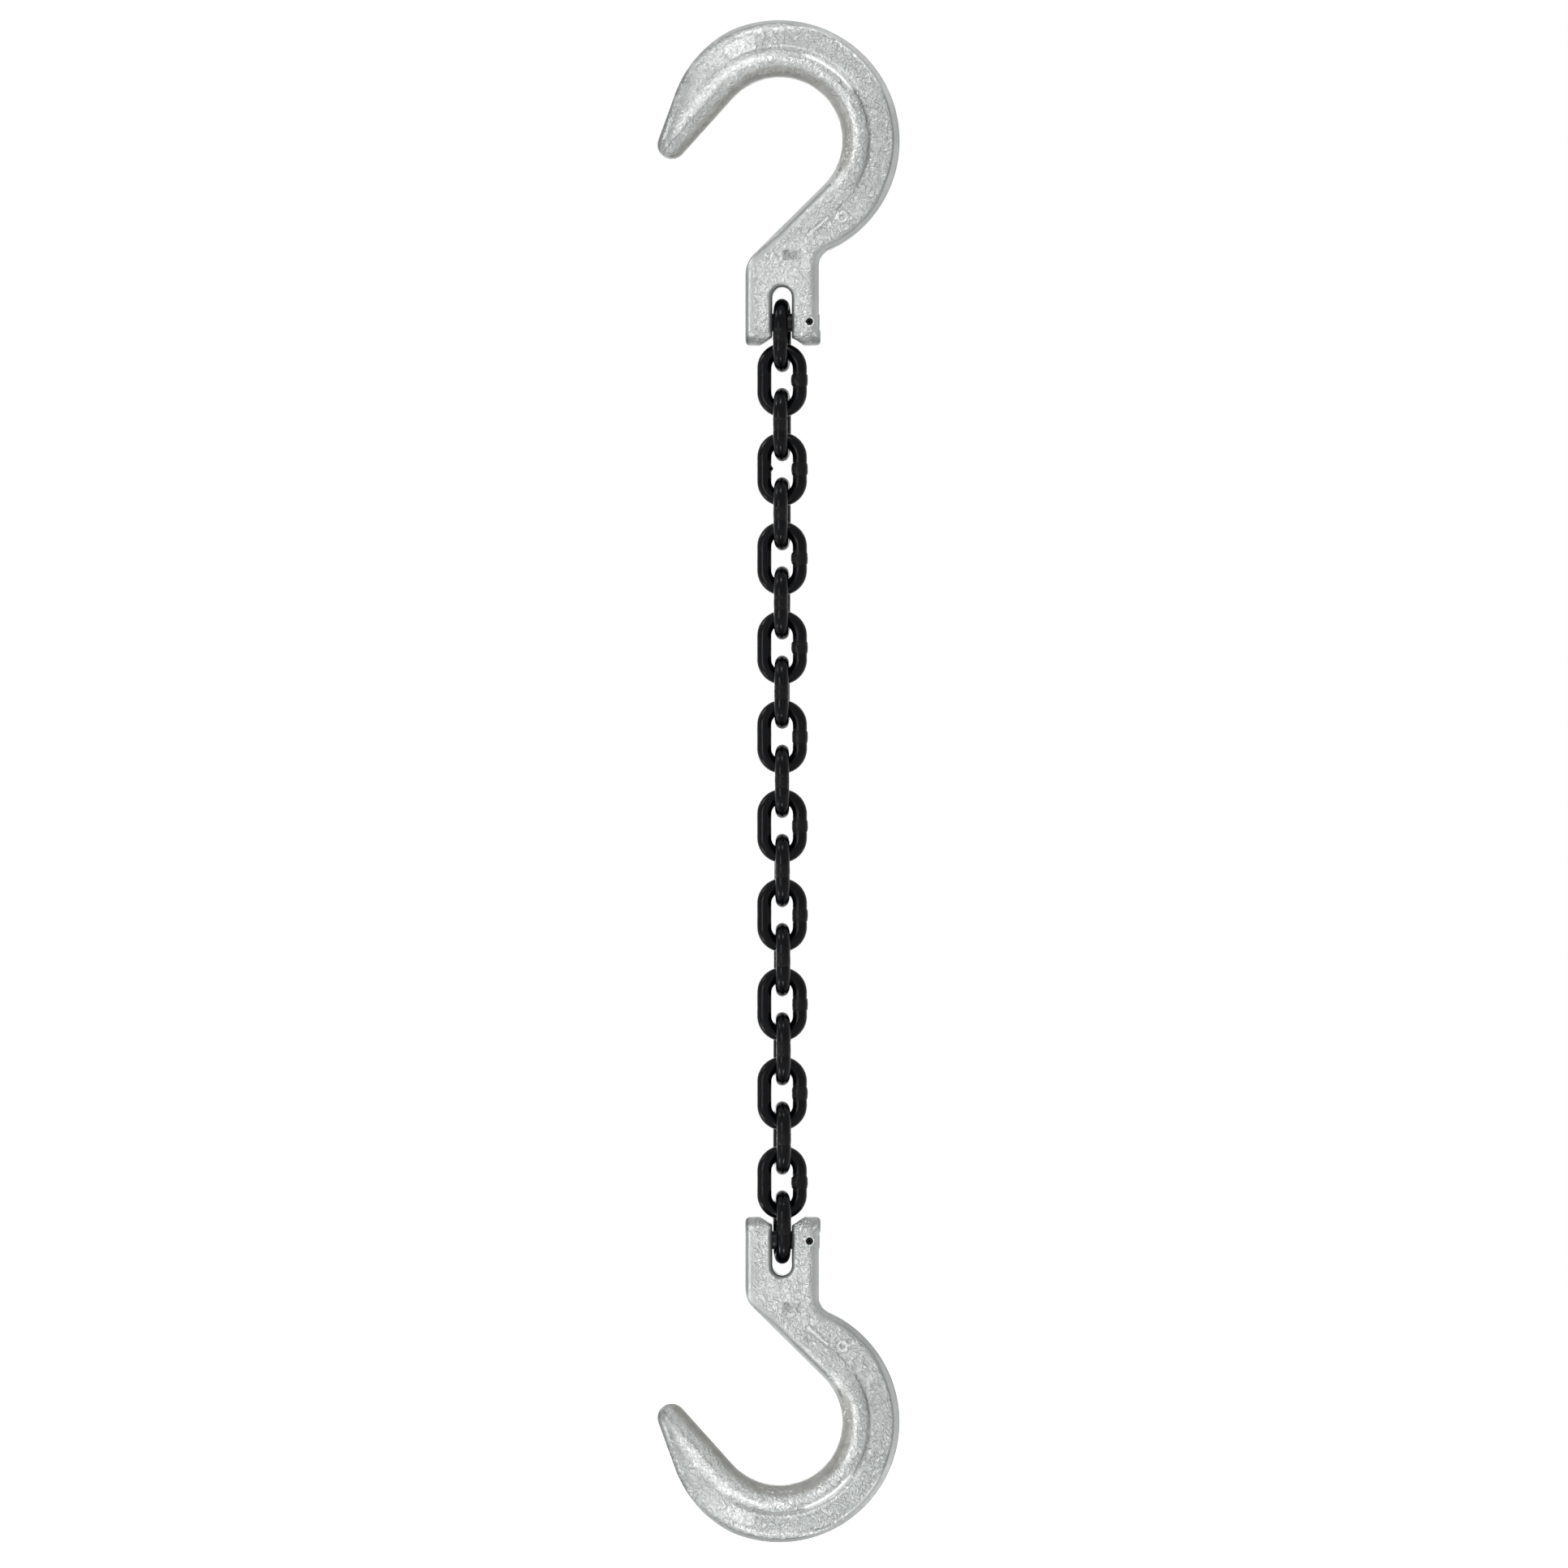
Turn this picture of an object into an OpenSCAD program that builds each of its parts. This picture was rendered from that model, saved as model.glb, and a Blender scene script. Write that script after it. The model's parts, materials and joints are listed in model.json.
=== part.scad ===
// Single-leg chain sling, hung straight: a clevis foundry hook at each end of 21 welded links.
// The origin is the centre of the top hook's bowl. +Z is up the chain, +X is the side that the hook's back
// is on, and -Y is the front.

/* [Chain] */
// Diameter of the chain wire
wire_d = 10; // [9:0.5:11]
// Inside length of a link, which is the pitch of the chain
link_inner_l = 31; // [29:0.5:34]
// Inside width of a link
link_inner_w = 14.5; // [13.5:0.5:16]
// Length of the weld on one leg of a link
weld_l = 8.5; // [6:0.5:9]
// How far the weld stands into the link
weld_in = 1.2; // [0.6:0.1:1.4]
// How far the weld stands out of the link
weld_out = 0.6; // [0.2:0.1:1]
// Number of links; an odd number, so that both end links stand edge-on
link_count = 21; // [3:2:41]
// Angle that the first link is turned about the chain's length; the last one is turned the other way
chain_turn = -6; // [-6:0.5:6]
// Clearance where links meet each other and the load pins
link_play = 0.3; // [0.2:0.05:0.5]

/* [Hook bowl] */
// Radius inside the bowl
bowl_r = 43.3; // [40:0.1:47]
// Width of the bowl's section, from the inside edge to the back
bowl_w = 39.7; // [36:0.1:43]
// Thickness over the bead that runs round the inside of the bowl
bead_t = 25; // [23:0.5:28]
// Thickness of the flat web behind the bead
web_t = 18.6; // [17:0.2:20.4]
// How far each face of the web falls away towards the hook's back
web_fall = 1.2; // [0.4:0.1:1.6]
// Width of the plain land at the inside edge
land_w = 6; // [4:0.5:9]
// Depth of the groove between the bead and the web
groove_depth = 1; // [0.2:0.1:1.2]

/* [Hook tip] */
// Angle round the bowl, from the right, at which the tip's straight inside edge begins
tip_angle = 138; // [134:1:144]
// Taper of the tip's outer edge
tip_taper = 22; // [20:0.5:24]
// Radius of the tip's rounded end
tip_r = 9.8; // [9:0.1:10.6]
// Thickness of the tip just before its rounded end
tip_t = 19; // [17:0.5:21]

/* [Neck and clevis] */
// Distance from the bowl's centre line to the centre line of the chain
chain_x = 2; // [0:0.1:4]
// Width of the clevis over both ears
clevis_w = 50.6; // [48:0.2:54]
// Thickness of the clevis
clevis_t = 28; // [26:0.5:31]
// Radius of the corner where the neck's inside edge meets the clevis
corner_r = 20; // [14:0.5:24]
// Radius of the hollow where the back of the bowl meets the clevis
shoulder_r = 11; // [8:0.5:14]
// Rounding along the clevis's edge on the hook's open side
edge_in_r = 4; // [2:0.5:5]
// Rounding along the clevis's edge on the hook's back
edge_out_r = 6; // [3:0.5:8]
// Width of the slot between the ears
slot_w = 13.4; // [13:0.1:15]
// Bevel round the slot
slot_bevel = 2; // [1:0.25:3]
// Distance from the top of the slot to the load pin's axis
slot_rise = 23.8; // [23:0.2:28]
// Distance from the load pin's axis to the end of the ears
ear_l = 16.1; // [14:0.1:16.5]
// Height of the slope at the ears' inner ends
ear_slope_h = 5.7; // [3:0.1:7]
// Width of the slope at the ears' inner ends
ear_slope_w = 8.5; // [5:0.1:10]
// Rounding of the ears' outer corners
ear_r = 3; // [2:0.5:5]
// How far the ear on the hook's back stands out below the load pin
ear_lip = 1.2; // [0.2:0.2:1.6]

/* [Pins] */
// Diameter of the load pin
load_pin_d = 12.5; // [12:0.1:13.5]
// Chamfer on the load pin's ends
load_pin_chamfer = 0.8; // [0.4:0.1:1.5]
// How far the load pin stands out on the lock pin's side
load_pin_proud = 0.4; // [0:0.1:1]
// Diameter of the lock pin
lock_pin_d = 4.8; // [4:0.1:5.2]
// Wall of the lock pin, which is a coiled spring pin
lock_pin_wall = 1.6; // [1.3:0.1:1.8]
// Thickness of the strip that the lock pin is coiled from
lock_pin_strip = 0.5; // [0.3:0.1:0.6]
// Depth of the lock pin's ends below the ears' faces
lock_pin_recess = 2; // [1:0.25:3]
// Distance from the lock pin's axis to the clevis's outer edge
lock_pin_edge = 6.4; // [5:0.1:8]
// Clearance all round a pin in its hole
pin_play = 0.1; // [0.05:0.01:0.15]

/* [Hidden] */
$fn = 96;
cut = 1;

// The chain, from the top load pin down
crown_r = (link_inner_w + wire_d) / 2;
link_leg_l = link_inner_l - link_inner_w;
link_step = link_inner_l - link_play;

// The bowl's section, as shares of its width from the inside edge: the bead's crest, the bottom and the far
// side of the groove, where the web is level, and where its rounded edge begins
crest_share = 0.23;
groove_share = 0.48;
groove_end_share = 0.515;
web_share = 0.67;
web_edge_share = 0.86;
rim_r = bowl_r + bowl_w;
rim_edge_t = 2.4;

// Angles round the bowl, from the right: where the neck leaves it, where its groove begins and where that
// has its full depth, and where its section begins to change into the tip's
neck_start = -45;
groove_start = -38;
groove_full = -28;
bowl_end = 112;
bowl_steps = 34;
// How far the outer edge has drawn in where the tip begins, and how late in the bend it does
tip_shrink = 2.5;
tip_shrink_power = 1.2;

// The bowl is forged a little small, and its inside edge is then turned to size.
bowl_stock = 0.2;

// The tip: its outer edge leaves the bowl on a large arc and then tapers in a straight line
tip_arc_r = 80;
tip_arc_lead = 6;
tip_line_s = tip_arc_r * sin(tip_taper) - tip_arc_lead;
tip_line_u = rim_r - tip_shrink - tip_arc_drop(tip_line_s) + tip_arc_drop(0);
tip_mid_u = bowl_r + tip_r;
tip_end_s = tip_line_s + (tip_line_u - tip_mid_u - tip_r / cos(tip_taper)) / tan(tip_taper);

// The neck and the clevis, measured down from the bowl's centre
clevis_left = chain_x - clevis_w / 2;
clevis_right = chain_x + clevis_w / 2;
shoulder_x = clevis_right + shoulder_r;
shoulder_drop = sqrt(pow(rim_r + shoulder_r, 2) - pow(shoulder_x, 2));
corner_drop = sqrt(2) * bowl_r - clevis_left + corner_r * tan(22.5);
neck_margin = 2;
clevis_drop = max(shoulder_drop, corner_drop) + neck_margin;
slot_top_wall = 6.6;
slot_top_drop = clevis_drop + slot_top_wall;
pin_drop = slot_top_drop + slot_rise;
ear_end_drop = pin_drop + ear_l;
lock_pin_x = clevis_right - lock_pin_edge;

// The ear's lip begins beside the load pin and has its full height below it
lip_run = 1.8;
lip_drop = pin_drop + load_pin_d / 2 - lip_run;

// The ears' ends are rounded, seen from the side, so that the second link swings past them. The radius is a
// little over half the thickness, so that the arc meets the faces.
ear_nose_ease = 0.4;
ear_nose_r = clevis_t / 2 + ear_nose_ease;

// The section planes of the neck fan about the point where the bowl's last plane meets the clevis's top one
fan = [clevis_drop, -clevis_drop];

// Where the links and the lower hook are
first_link_z = -pin_drop + load_pin_d / 2 + link_play - link_inner_l / 2;
function link_z(i) = first_link_z - (i - 1) * link_step;
function link_turn(i) = chain_turn * cos(180 * (i - 1) / (link_count - 1));
bottom_pin_z = link_z(link_count) - link_inner_l / 2 + link_play + load_pin_d / 2;
bottom_bowl_z = bottom_pin_z - pin_drop;

function link_name(i) = str("link_", i < 10 ? "0" : "", i);

// Sections of the forging. Each is the upper half of an outline, from the inside edge to the back, as pairs
// of a share of the section's width and a height; the lower half is its mirror image.

function smooth(k) = let (c = min(max(k, 0), 1)) c * c * (3 - 2 * c);

function blend(a, b, k) = [for (i = [0:len(a) - 1]) a[i] * (1 - k) + b[i] * k];

// The bowl: land, inner flank up to the bead, outer flank down into the groove, web, and a rounded flank
// down to the rim. groove is the share of the groove's depth.
function bowl_half(groove) =
    let (
        web_top = web_t / 2,
        groove_floor = web_top - groove_depth * groove,
        edge_top = web_top - web_fall
    ) concat(
        [for (a = inner_steps) [
            crest_share * (1 - cos(a)),
            land_w / 2 + (bead_t - land_w) / 2 * sin(a)
        ]],
        [for (a = [24, 48, 70, 90]) [
            crest_share + (groove_share - crest_share) * sin(a),
            groove_floor + (bead_t / 2 - groove_floor) * cos(a)
        ]],
        [
            [groove_end_share, web_top - groove_depth * groove / 3],
            [web_share, web_top],
            [web_edge_share, edge_top]
        ],
        [for (a = outer_steps) [
            web_edge_share + (1 - web_edge_share) * sin(a),
            rim_edge_t / 2 + (edge_top - rim_edge_t / 2) * cos(a)
        ]]
    );

// Each half section has its points in this order: the inner steps, the flat ones and the outer steps.
inner_steps = [0:15:90];
flat_steps = 7;
outer_steps = [25, 50, 70, 90];
half_points = 18;

// The clevis: a flat plate with rounded edges.
function clevis_half() = concat(
    [for (a = inner_steps) [
        edge_in_r * (1 - cos(a)) / clevis_w,
        clevis_t / 2 - edge_in_r * (1 - sin(a))
    ]],
    [for (i = [1:flat_steps]) [
        edge_in_r / clevis_w + (1 - (edge_in_r + edge_out_r) / clevis_w) * i / flat_steps,
        clevis_t / 2
    ]],
    [for (a = outer_steps) [
        1 - edge_out_r * (1 - sin(a)) / clevis_w,
        clevis_t / 2 - edge_out_r * (1 - cos(a))
    ]]
);

// The tip: an oval.
tip_side_a = 10;
function tip_half() = [for (j = [0:half_points - 1])
    let (a = tip_side_a + (180 - 2 * tip_side_a) * j / (half_points - 1))
    [(cos(tip_side_a) - cos(a)) / (2 * cos(tip_side_a)), tip_t / 2 * sin(a)]
];

// A closed ring of [distance, height] from a half section between the distances inner and outer.
function ring(half, inner, outer, thin = 1) = concat(
    [for (p = half) [inner + (outer - inner) * p[0], p[1] * thin]],
    [for (i = [len(half) - 1:-1:0]) [inner + (outer - inner) * half[i][0], -half[i][1] * thin]]
);

// The ring's distances run from the point at, along dir, which are [x, z] pairs.
function place(flat, at, dir) = [for (p = flat) [at[0] + p[0] * dir[0], p[1], at[1] + p[0] * dir[1]]];

// A solid through rings, which follow each other anticlockwise about the bowl.
module loft(rings) {
    n = len(rings[0]);
    last = len(rings) - 1;
    polyhedron(
        points = [for (r = rings) each r],
        faces = concat(
            [[for (j = [n - 1:-1:0]) j]],
            [for (i = [0:last - 1], j = [0:n - 1]) [i * n + j, i * n + (j + 1) % n, (i + 1) * n + j]],
            [for (i = [0:last - 1], j = [0:n - 1])
                [i * n + (j + 1) % n, (i + 1) * n + (j + 1) % n, (i + 1) * n + j]],
            [[for (j = [0:n - 1]) last * n + j]]
        )
    );
}

// The neck

// Distance from the start of a ray to where it crosses a circle, on its near or far side.
function ray_circle(start, dir, centre, r, far) =
    let (
        to = centre - start,
        along = to * dir,
        half_chord = sqrt(max(r * r - (to * to - along * along), 0))
    ) along + (far ? half_chord : -half_chord);

function turn(a) = [cos(a), sin(a)];

function fan_angle(p) = atan2(p[1] - fan[1], p[0] - fan[0]);

corner_centre = [clevis_left + corner_r, -corner_drop];
corner_begin = fan_angle(corner_centre + corner_r * turn(135));
corner_finish = fan_angle([clevis_left, -corner_drop]);
shoulder_centre = [shoulder_x, -shoulder_drop];
shoulder_begin = fan_angle(shoulder_centre * rim_r / (rim_r + shoulder_r));
shoulder_finish = fan_angle([clevis_right, -shoulder_drop]);

// The inside edge: a straight line off the bowl, a rounded corner, and the side of the clevis.
function neck_inside(a) =
    a < corner_begin ? (2 * clevis_drop - sqrt(2) * bowl_r) / (sin(a) - cos(a)) :
    a < corner_finish ? ray_circle(fan, turn(a), corner_centre, corner_r, true) :
    (clevis_left - clevis_drop) / cos(a);

// The back: the rim of the bowl, a hollow, and the other side of the clevis.
function neck_back(a) =
    a < shoulder_begin ? ray_circle(fan, turn(a), [0, 0], rim_r, false) :
    a < shoulder_finish ? ray_circle(fan, turn(a), shoulder_centre, shoulder_r, true) :
    (clevis_right - clevis_drop) / cos(a);

// The fan's planes, from the clevis's, at 180, to the one that is next to the bowl's own at 135
neck_planes = [for (a = [180:-2.5:155]) a, 151, 147, 143, 139];
neck_end = 135;
neck_blend = 40;

function clevis_ring(drop, lip) =
    place(ring(clevis_half(), clevis_drop - clevis_left, clevis_drop - clevis_right - lip),
        [clevis_drop, -drop], turn(180));

function ear_rings() = [clevis_ring(ear_end_drop, ear_lip), clevis_ring(lip_drop + lip_run, ear_lip),
    clevis_ring(lip_drop, 0)];

function neck_rings() = [for (a = neck_planes)
    let (half = blend(bowl_half(0), clevis_half(), smooth((a - neck_end) / neck_blend)))
    place(ring(half, neck_inside(a), neck_back(a)), fan, turn(a))
];

// The bowl, whose groove begins in the stretch after the neck

function bowl_rings() = concat(
    [for (a = [neck_start, for (i = [0:3]) groove_start + (groove_full - groove_start) * i / 4])
        let (groove = smooth((a - groove_start) / (groove_full - groove_start)))
        place(ring(bowl_half(groove), bowl_r - bowl_stock, rim_r), [0, 0], turn(a))],
    [for (i = [0:bowl_steps])
        let (a = groove_full + (bowl_end - groove_full) * i / bowl_steps)
        place(ring(bowl_half(1), bowl_r - bowl_stock, rim_r), [0, 0], turn(a))]
);

// The tip

function tip_arc_drop(s) = tip_arc_r - sqrt(pow(tip_arc_r, 2) - pow(s + tip_arc_lead, 2));

function tip_cap(s) = sqrt(max(1 - pow((s - tip_end_s) / tip_r, 2), 0));

function tip_inside(s) = s < tip_end_s ? bowl_r : tip_mid_u - tip_r * tip_cap(s);

function tip_outside(s) =
    s < tip_line_s ? rim_r - tip_shrink - tip_arc_drop(s) + tip_arc_drop(0) :
    s < tip_end_s + tip_r * sin(tip_taper) ? tip_line_u - (s - tip_line_s) * tan(tip_taper) :
    tip_mid_u + tip_r * tip_cap(s);

tip_arc_planes = [for (i = [1:5]) bowl_end + (tip_angle - bowl_end) * i / 5];
tip_bend_l = (tip_angle - bowl_end) * PI / 180 * (bowl_r + rim_r) / 2;
tip_straight_planes = concat(
    [for (i = [1:9]) tip_end_s * i / 9],
    [for (a = [18, 34, 48, 60, 70, 78, 84.5]) tip_end_s + tip_r * sin(a)]
);

function tip_rings() = concat(
    [for (a = tip_arc_planes)
        let (
            k = (a - bowl_end) / (tip_angle - bowl_end),
            half = blend(bowl_half(1), tip_half(), smooth(k * tip_bend_l / (tip_bend_l + tip_end_s))),
            outer = rim_r - tip_shrink * pow(k, tip_shrink_power)
        )
        place(ring(half, bowl_r - bowl_stock, outer), [0, 0], turn(a))],
    [for (s = tip_straight_planes)
        let (
            half = blend(bowl_half(1), tip_half(), smooth((tip_bend_l + s) / (tip_bend_l + tip_end_s))),
            thin = s < tip_end_s ? 1 : tip_cap(s)
        )
        place(ring(half, tip_inside(s), tip_outside(s), thin), s * turn(tip_angle + 90), turn(tip_angle))]
);

// The clevis

module along_x(d, l) {
    rotate([0, 90, 0]) cylinder(d = d, h = l);
}

// A slot of half-width r, open downwards, cut along Y from y0 to y1; r_back is its half-width at y1.
module slot_cut(y0, y1, r, r_back) {
    slot_mid = -slot_top_drop - slot_w / 2;
    translate([chain_x, y0, slot_mid]) rotate([-90, 0, 0]) cylinder(r1 = r, r2 = r_back, h = y1 - y0);
    translate([chain_x, 0, -ear_end_drop - cut])
        linear_extrude(ear_end_drop + cut + slot_mid)
        polygon([[-r, y0], [r, y0], [r_back, y1], [-r_back, y1]]);
}

module clevis_slot() {
    half_t = clevis_t / 2;
    slot_r = slot_w / 2;
    slot_cut(-half_t - cut, half_t + cut, slot_r, slot_r);
    for (side = [0, 1]) mirror([0, side, 0])
        slot_cut(half_t - slot_bevel, half_t + cut, slot_r, slot_r + slot_bevel + cut);
}

// An outline in the XZ plane, cut right through along Y
module front_cut() {
    translate([0, clevis_t, 0]) rotate([90, 0, 0]) linear_extrude(2 * clevis_t) children();
}

// The slopes at the ears' inner ends
module ear_slopes() {
    foot_x = slot_w / 2 + ear_slope_w;
    slope = ear_slope_h / ear_slope_w;
    front_cut()
        translate([chain_x, -ear_end_drop])
        polygon([[-foot_x, 0], [0, foot_x * slope], [foot_x, 0], [foot_x, -cut], [-foot_x, -cut]]);
}

// The rounding of the ears' outer corners, at the side that faces -X or, mirrored, +X
module ear_corners() {
    for (side = [0, 1]) translate([chain_x, 0, -ear_end_drop]) mirror([side, 0, 0])
        translate([-clevis_w / 2 - side * ear_lip, 0, 0])
        front_cut()
        polygon(concat(
            [[-cut, -cut], [-cut, ear_r]],
            [for (a = [0:22.5:90]) [ear_r * (1 - cos(a)), ear_r * (1 - sin(a))]],
            [[ear_r, -cut]]
        ));
}

// What is left of a block round the ears' rounded ends, past which the second link swings
module ear_noses() {
    nose_mid = -ear_end_drop + ear_nose_r;
    over_ears = clevis_w + ear_lip + 2 * cut;
    difference() {
        translate([clevis_left - cut, -clevis_t, -ear_end_drop - cut])
            cube([over_ears, 2 * clevis_t, ear_nose_r + cut]);
        translate([clevis_left - 2 * cut, 0, nose_mid]) along_x(2 * ear_nose_r, over_ears + 2 * cut);
    }
}

module pin_holes() {
    translate([clevis_left - cut, 0, -pin_drop]) along_x(load_pin_d + 2 * pin_play, clevis_w + 2 * cut);
    translate([lock_pin_x, 0, -pin_drop]) rotate([90, 0, 0])
        cylinder(d = lock_pin_d + 2 * pin_play, h = clevis_t + 2 * cut, center = true);
}

// The forged hook, about the centre of its bowl: one forging, then the cuts made in it
module forged_hook() {
    difference() {
        loft(concat(ear_rings(), neck_rings(), bowl_rings(), tip_rings()));
        rotate([90, 0, 0]) cylinder(r = bowl_r, h = 2 * clevis_t, center = true);
        clevis_slot();
        ear_slopes();
        ear_corners();
        ear_noses();
        pin_holes();
    }
}

module load_pin() {
    l = clevis_w + load_pin_proud;
    r = load_pin_d / 2;
    c = load_pin_chamfer;
    difference() {
        translate([clevis_left, 0, -pin_drop]) rotate([0, 90, 0])
            rotate_extrude()
            polygon([[0, 0], [r - c, 0], [r, c], [r, l - c], [r - c, l], [0, l]]);
        translate([lock_pin_x, 0, -pin_drop]) rotate([90, 0, 0])
            cylinder(d = lock_pin_d + 2 * pin_play, h = load_pin_d + 2 * cut, center = true);
    }
}

module lock_pin() {
    l = clevis_t - 2 * lock_pin_recess;
    translate([lock_pin_x, 0, -pin_drop]) rotate([90, 0, 0])
        difference() {
            cylinder(d = lock_pin_d, h = l, center = true);
            cylinder(d = lock_pin_d - 2 * lock_pin_wall, h = l + cut, center = true);
            translate([lock_pin_d / 2, 0, 0])
                cube([2 * lock_pin_strip, lock_pin_strip, l + cut], center = true);
        }
}

// The lower hook is the same forging, turned half a turn about the X axis.
module at_bottom() {
    translate([0, 0, bottom_bowl_z]) rotate([180, 0, 0]) children();
}

// One link, standing along Z in the XZ plane. Half of it is a bent crown and the tops of two legs.
module link() {
    for (end = [0, 180]) rotate([0, end, 0])
        translate([0, 0, link_leg_l / 2]) rotate([90, 0, 0])
        rotate_extrude(angle = 180) translate([crown_r, 0]) circle(d = wire_d);
    for (side = [-1, 1]) translate([side * crown_r, 0, 0])
        cylinder(d = wire_d, h = link_leg_l, center = true);
    for (reach = [-weld_in, weld_out]) translate([crown_r + reach, 0, 0]) weld(abs(reach));
}

// One side of the swelling left where the wire's ends were pressed and welded together. It is as thick as
// the wire, and it stands out of one side of it by its reach.
module weld(reach) {
    end_r = wire_d / 2 - reach;
    rotate_extrude() polygon(concat(
        [[0, -weld_l / 2]],
        [for (a = [-90:15:90]) [end_r + reach * cos(a), weld_l / 2 * sin(a)]],
        [[0, weld_l / 2]]
    ));
}

// Odd links stand edge-on with the weld at the front, and even ones lie across with it on the right.
module placed_link(i) {
    translate([chain_x, 0, link_z(i)]) rotate([0, 0, link_turn(i) - (i % 2 == 1 ? 90 : 0)]) link();
}

module top_hook() { color("silver") forged_hook(); }
module top_load_pin() { color("dimgray") load_pin(); }
module top_lock_pin() { color("gray") lock_pin(); }
module chain_link(i) { color([0.12, 0.12, 0.14]) placed_link(i); }
module bottom_hook() { color("silver") at_bottom() forged_hook(); }
module bottom_load_pin() { color("dimgray") at_bottom() load_pin(); }
module bottom_lock_pin() { color("gray") at_bottom() lock_pin(); }

top_hook();
top_load_pin();
top_lock_pin();
for (i = [1:link_count])
    chain_link(i);
bottom_hook();
bottom_load_pin();
bottom_lock_pin();
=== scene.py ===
# The looks of a chain sling: two silver-painted foundry hooks, a black alloy chain and dark pins.
# Lengths are in millimetres until a mesh is made. A hook is worked out about the centre of its bowl, as the
# top hook lies in the frame: X across, Z up, and the broad faces at the front and the back.
import json
import math

import bmesh
import bpy
import numpy as np
from mathutils import Matrix, Vector, noise

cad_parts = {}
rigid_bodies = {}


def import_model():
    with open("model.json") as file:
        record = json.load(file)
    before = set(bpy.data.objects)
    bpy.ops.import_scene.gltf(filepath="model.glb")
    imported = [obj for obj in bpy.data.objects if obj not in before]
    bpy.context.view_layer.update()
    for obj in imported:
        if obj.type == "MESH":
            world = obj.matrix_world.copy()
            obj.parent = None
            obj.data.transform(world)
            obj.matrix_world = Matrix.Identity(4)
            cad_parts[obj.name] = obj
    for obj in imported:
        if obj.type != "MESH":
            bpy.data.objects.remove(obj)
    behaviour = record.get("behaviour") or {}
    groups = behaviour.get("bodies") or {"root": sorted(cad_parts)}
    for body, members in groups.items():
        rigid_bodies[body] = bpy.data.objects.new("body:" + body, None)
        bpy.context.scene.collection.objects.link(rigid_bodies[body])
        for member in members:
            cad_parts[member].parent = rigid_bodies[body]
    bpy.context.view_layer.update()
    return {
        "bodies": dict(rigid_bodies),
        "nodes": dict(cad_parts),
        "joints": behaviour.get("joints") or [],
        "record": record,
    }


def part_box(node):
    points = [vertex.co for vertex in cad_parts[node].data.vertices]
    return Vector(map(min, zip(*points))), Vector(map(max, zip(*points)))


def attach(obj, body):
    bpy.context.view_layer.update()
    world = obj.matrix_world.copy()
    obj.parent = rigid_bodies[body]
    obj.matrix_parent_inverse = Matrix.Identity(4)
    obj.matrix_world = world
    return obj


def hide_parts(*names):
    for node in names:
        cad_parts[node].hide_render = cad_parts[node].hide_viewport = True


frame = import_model()

MM = 0.001

# The frame's own sizes
record = frame["record"]
mounts = {m["name"]: m for m in record["mounts"]}
joints = {j["name"]: j for j in frame["joints"]}
BOWL_R = mounts["top_hook_bowl"]["dims"]["r_mm"]
BOTTOM_Z = mounts["bottom_hook_bowl"]["pos_m"][2] / MM
CHAIN_X = joints["link_01_swing"]["pos_m"][0] / MM
LINK_COUNT = sum(name.startswith("link_") for name in frame["bodies"])

# The forging's section and outline
BOWL_W = 39.7
RIM_R = BOWL_R + BOWL_W
BEAD_T = 25
WEB_T = 18.6
WEB_FALL = 1.2
LAND_W = 6
GROOVE_DEPTH = 1.0
GROOVE_END_PART = 3
CREST_SHARE = 0.23
GROOVE_SHARE = 0.48
GROOVE_END_SHARE = 0.515
WEB_SHARE = 0.67
WEB_EDGE_SHARE = 0.86
RIM_EDGE_T = 2.4
TIP_ANGLE = 138
TIP_TAPER = 22
TIP_R = 9.8
TIP_T = 19
TIP_SHRINK = 2.5
TIP_SHRINK_POWER = 1.2
TIP_ARC_R = 80
TIP_ARC_LEAD = 6
TIP_SIDE = 10
NECK_START = -45
GROOVE_START = -38
GROOVE_FULL = -28
BOWL_END = 112
CLEVIS_W = 50.6
CLEVIS_T = 28
EDGE_IN_R = 4
EDGE_OUT_R = 6
CORNER_R = 20
SHOULDER_R = 11
NECK_MARGIN = 2
CLEVIS_LEFT = CHAIN_X - CLEVIS_W / 2
CLEVIS_RIGHT = CHAIN_X + CLEVIS_W / 2
SHOULDER_X = CLEVIS_RIGHT + SHOULDER_R
SHOULDER_DROP = math.sqrt((RIM_R + SHOULDER_R) ** 2 - SHOULDER_X**2)
CORNER_DROP = math.sqrt(2) * BOWL_R - CLEVIS_LEFT + CORNER_R * math.tan(math.radians(22.5))
CLEVIS_DROP = max(SHOULDER_DROP, CORNER_DROP) + NECK_MARGIN
SLOT_R = 6.7
SLOT_TOP_WALL = 6.6
SLOT_MID_Z = -(CLEVIS_DROP + SLOT_TOP_WALL + SLOT_R)
PIN_Z = joints["link_01_swing"]["pos_m"][2] / MM
LOCK_PIN_X = CLEVIS_RIGHT - 6.4
LOCK_HOLE_R = 2.5
PAINT_SKIN_R = 1.2
PAINT_SKIN_POINTS = 24

# How finely the forging is lofted, and how it is joined, remeshed and softened
SPAN_POINTS = 6
RING_STEP = 1.0
CAP_STEPS = range(6, 86, 6)
CLEVIS_OVERLAP = 4.0
EARS_OVERLAP = 1.0
MERGE_DISTANCE = 0.001
VOXEL = 0.78
SOFTENING = 0.5
SOFTENING_STEPS = 3

# A link
WIRE_R = 5.0
CROWN_R = 12.25
LEG_L = 16.5
WELD_L = 8.5
WELD_IN = 1.2
WELD_OUT = 0.6


def smooth(k):
    k = np.clip(k, 0.0, 1.0)
    return k * k * (3 - 2 * k)


def turn(degrees):
    return np.array([math.cos(math.radians(degrees)), math.sin(math.radians(degrees))])


# Half sections of the forging, from the inside edge to the back: a share of the width, and a height

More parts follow.
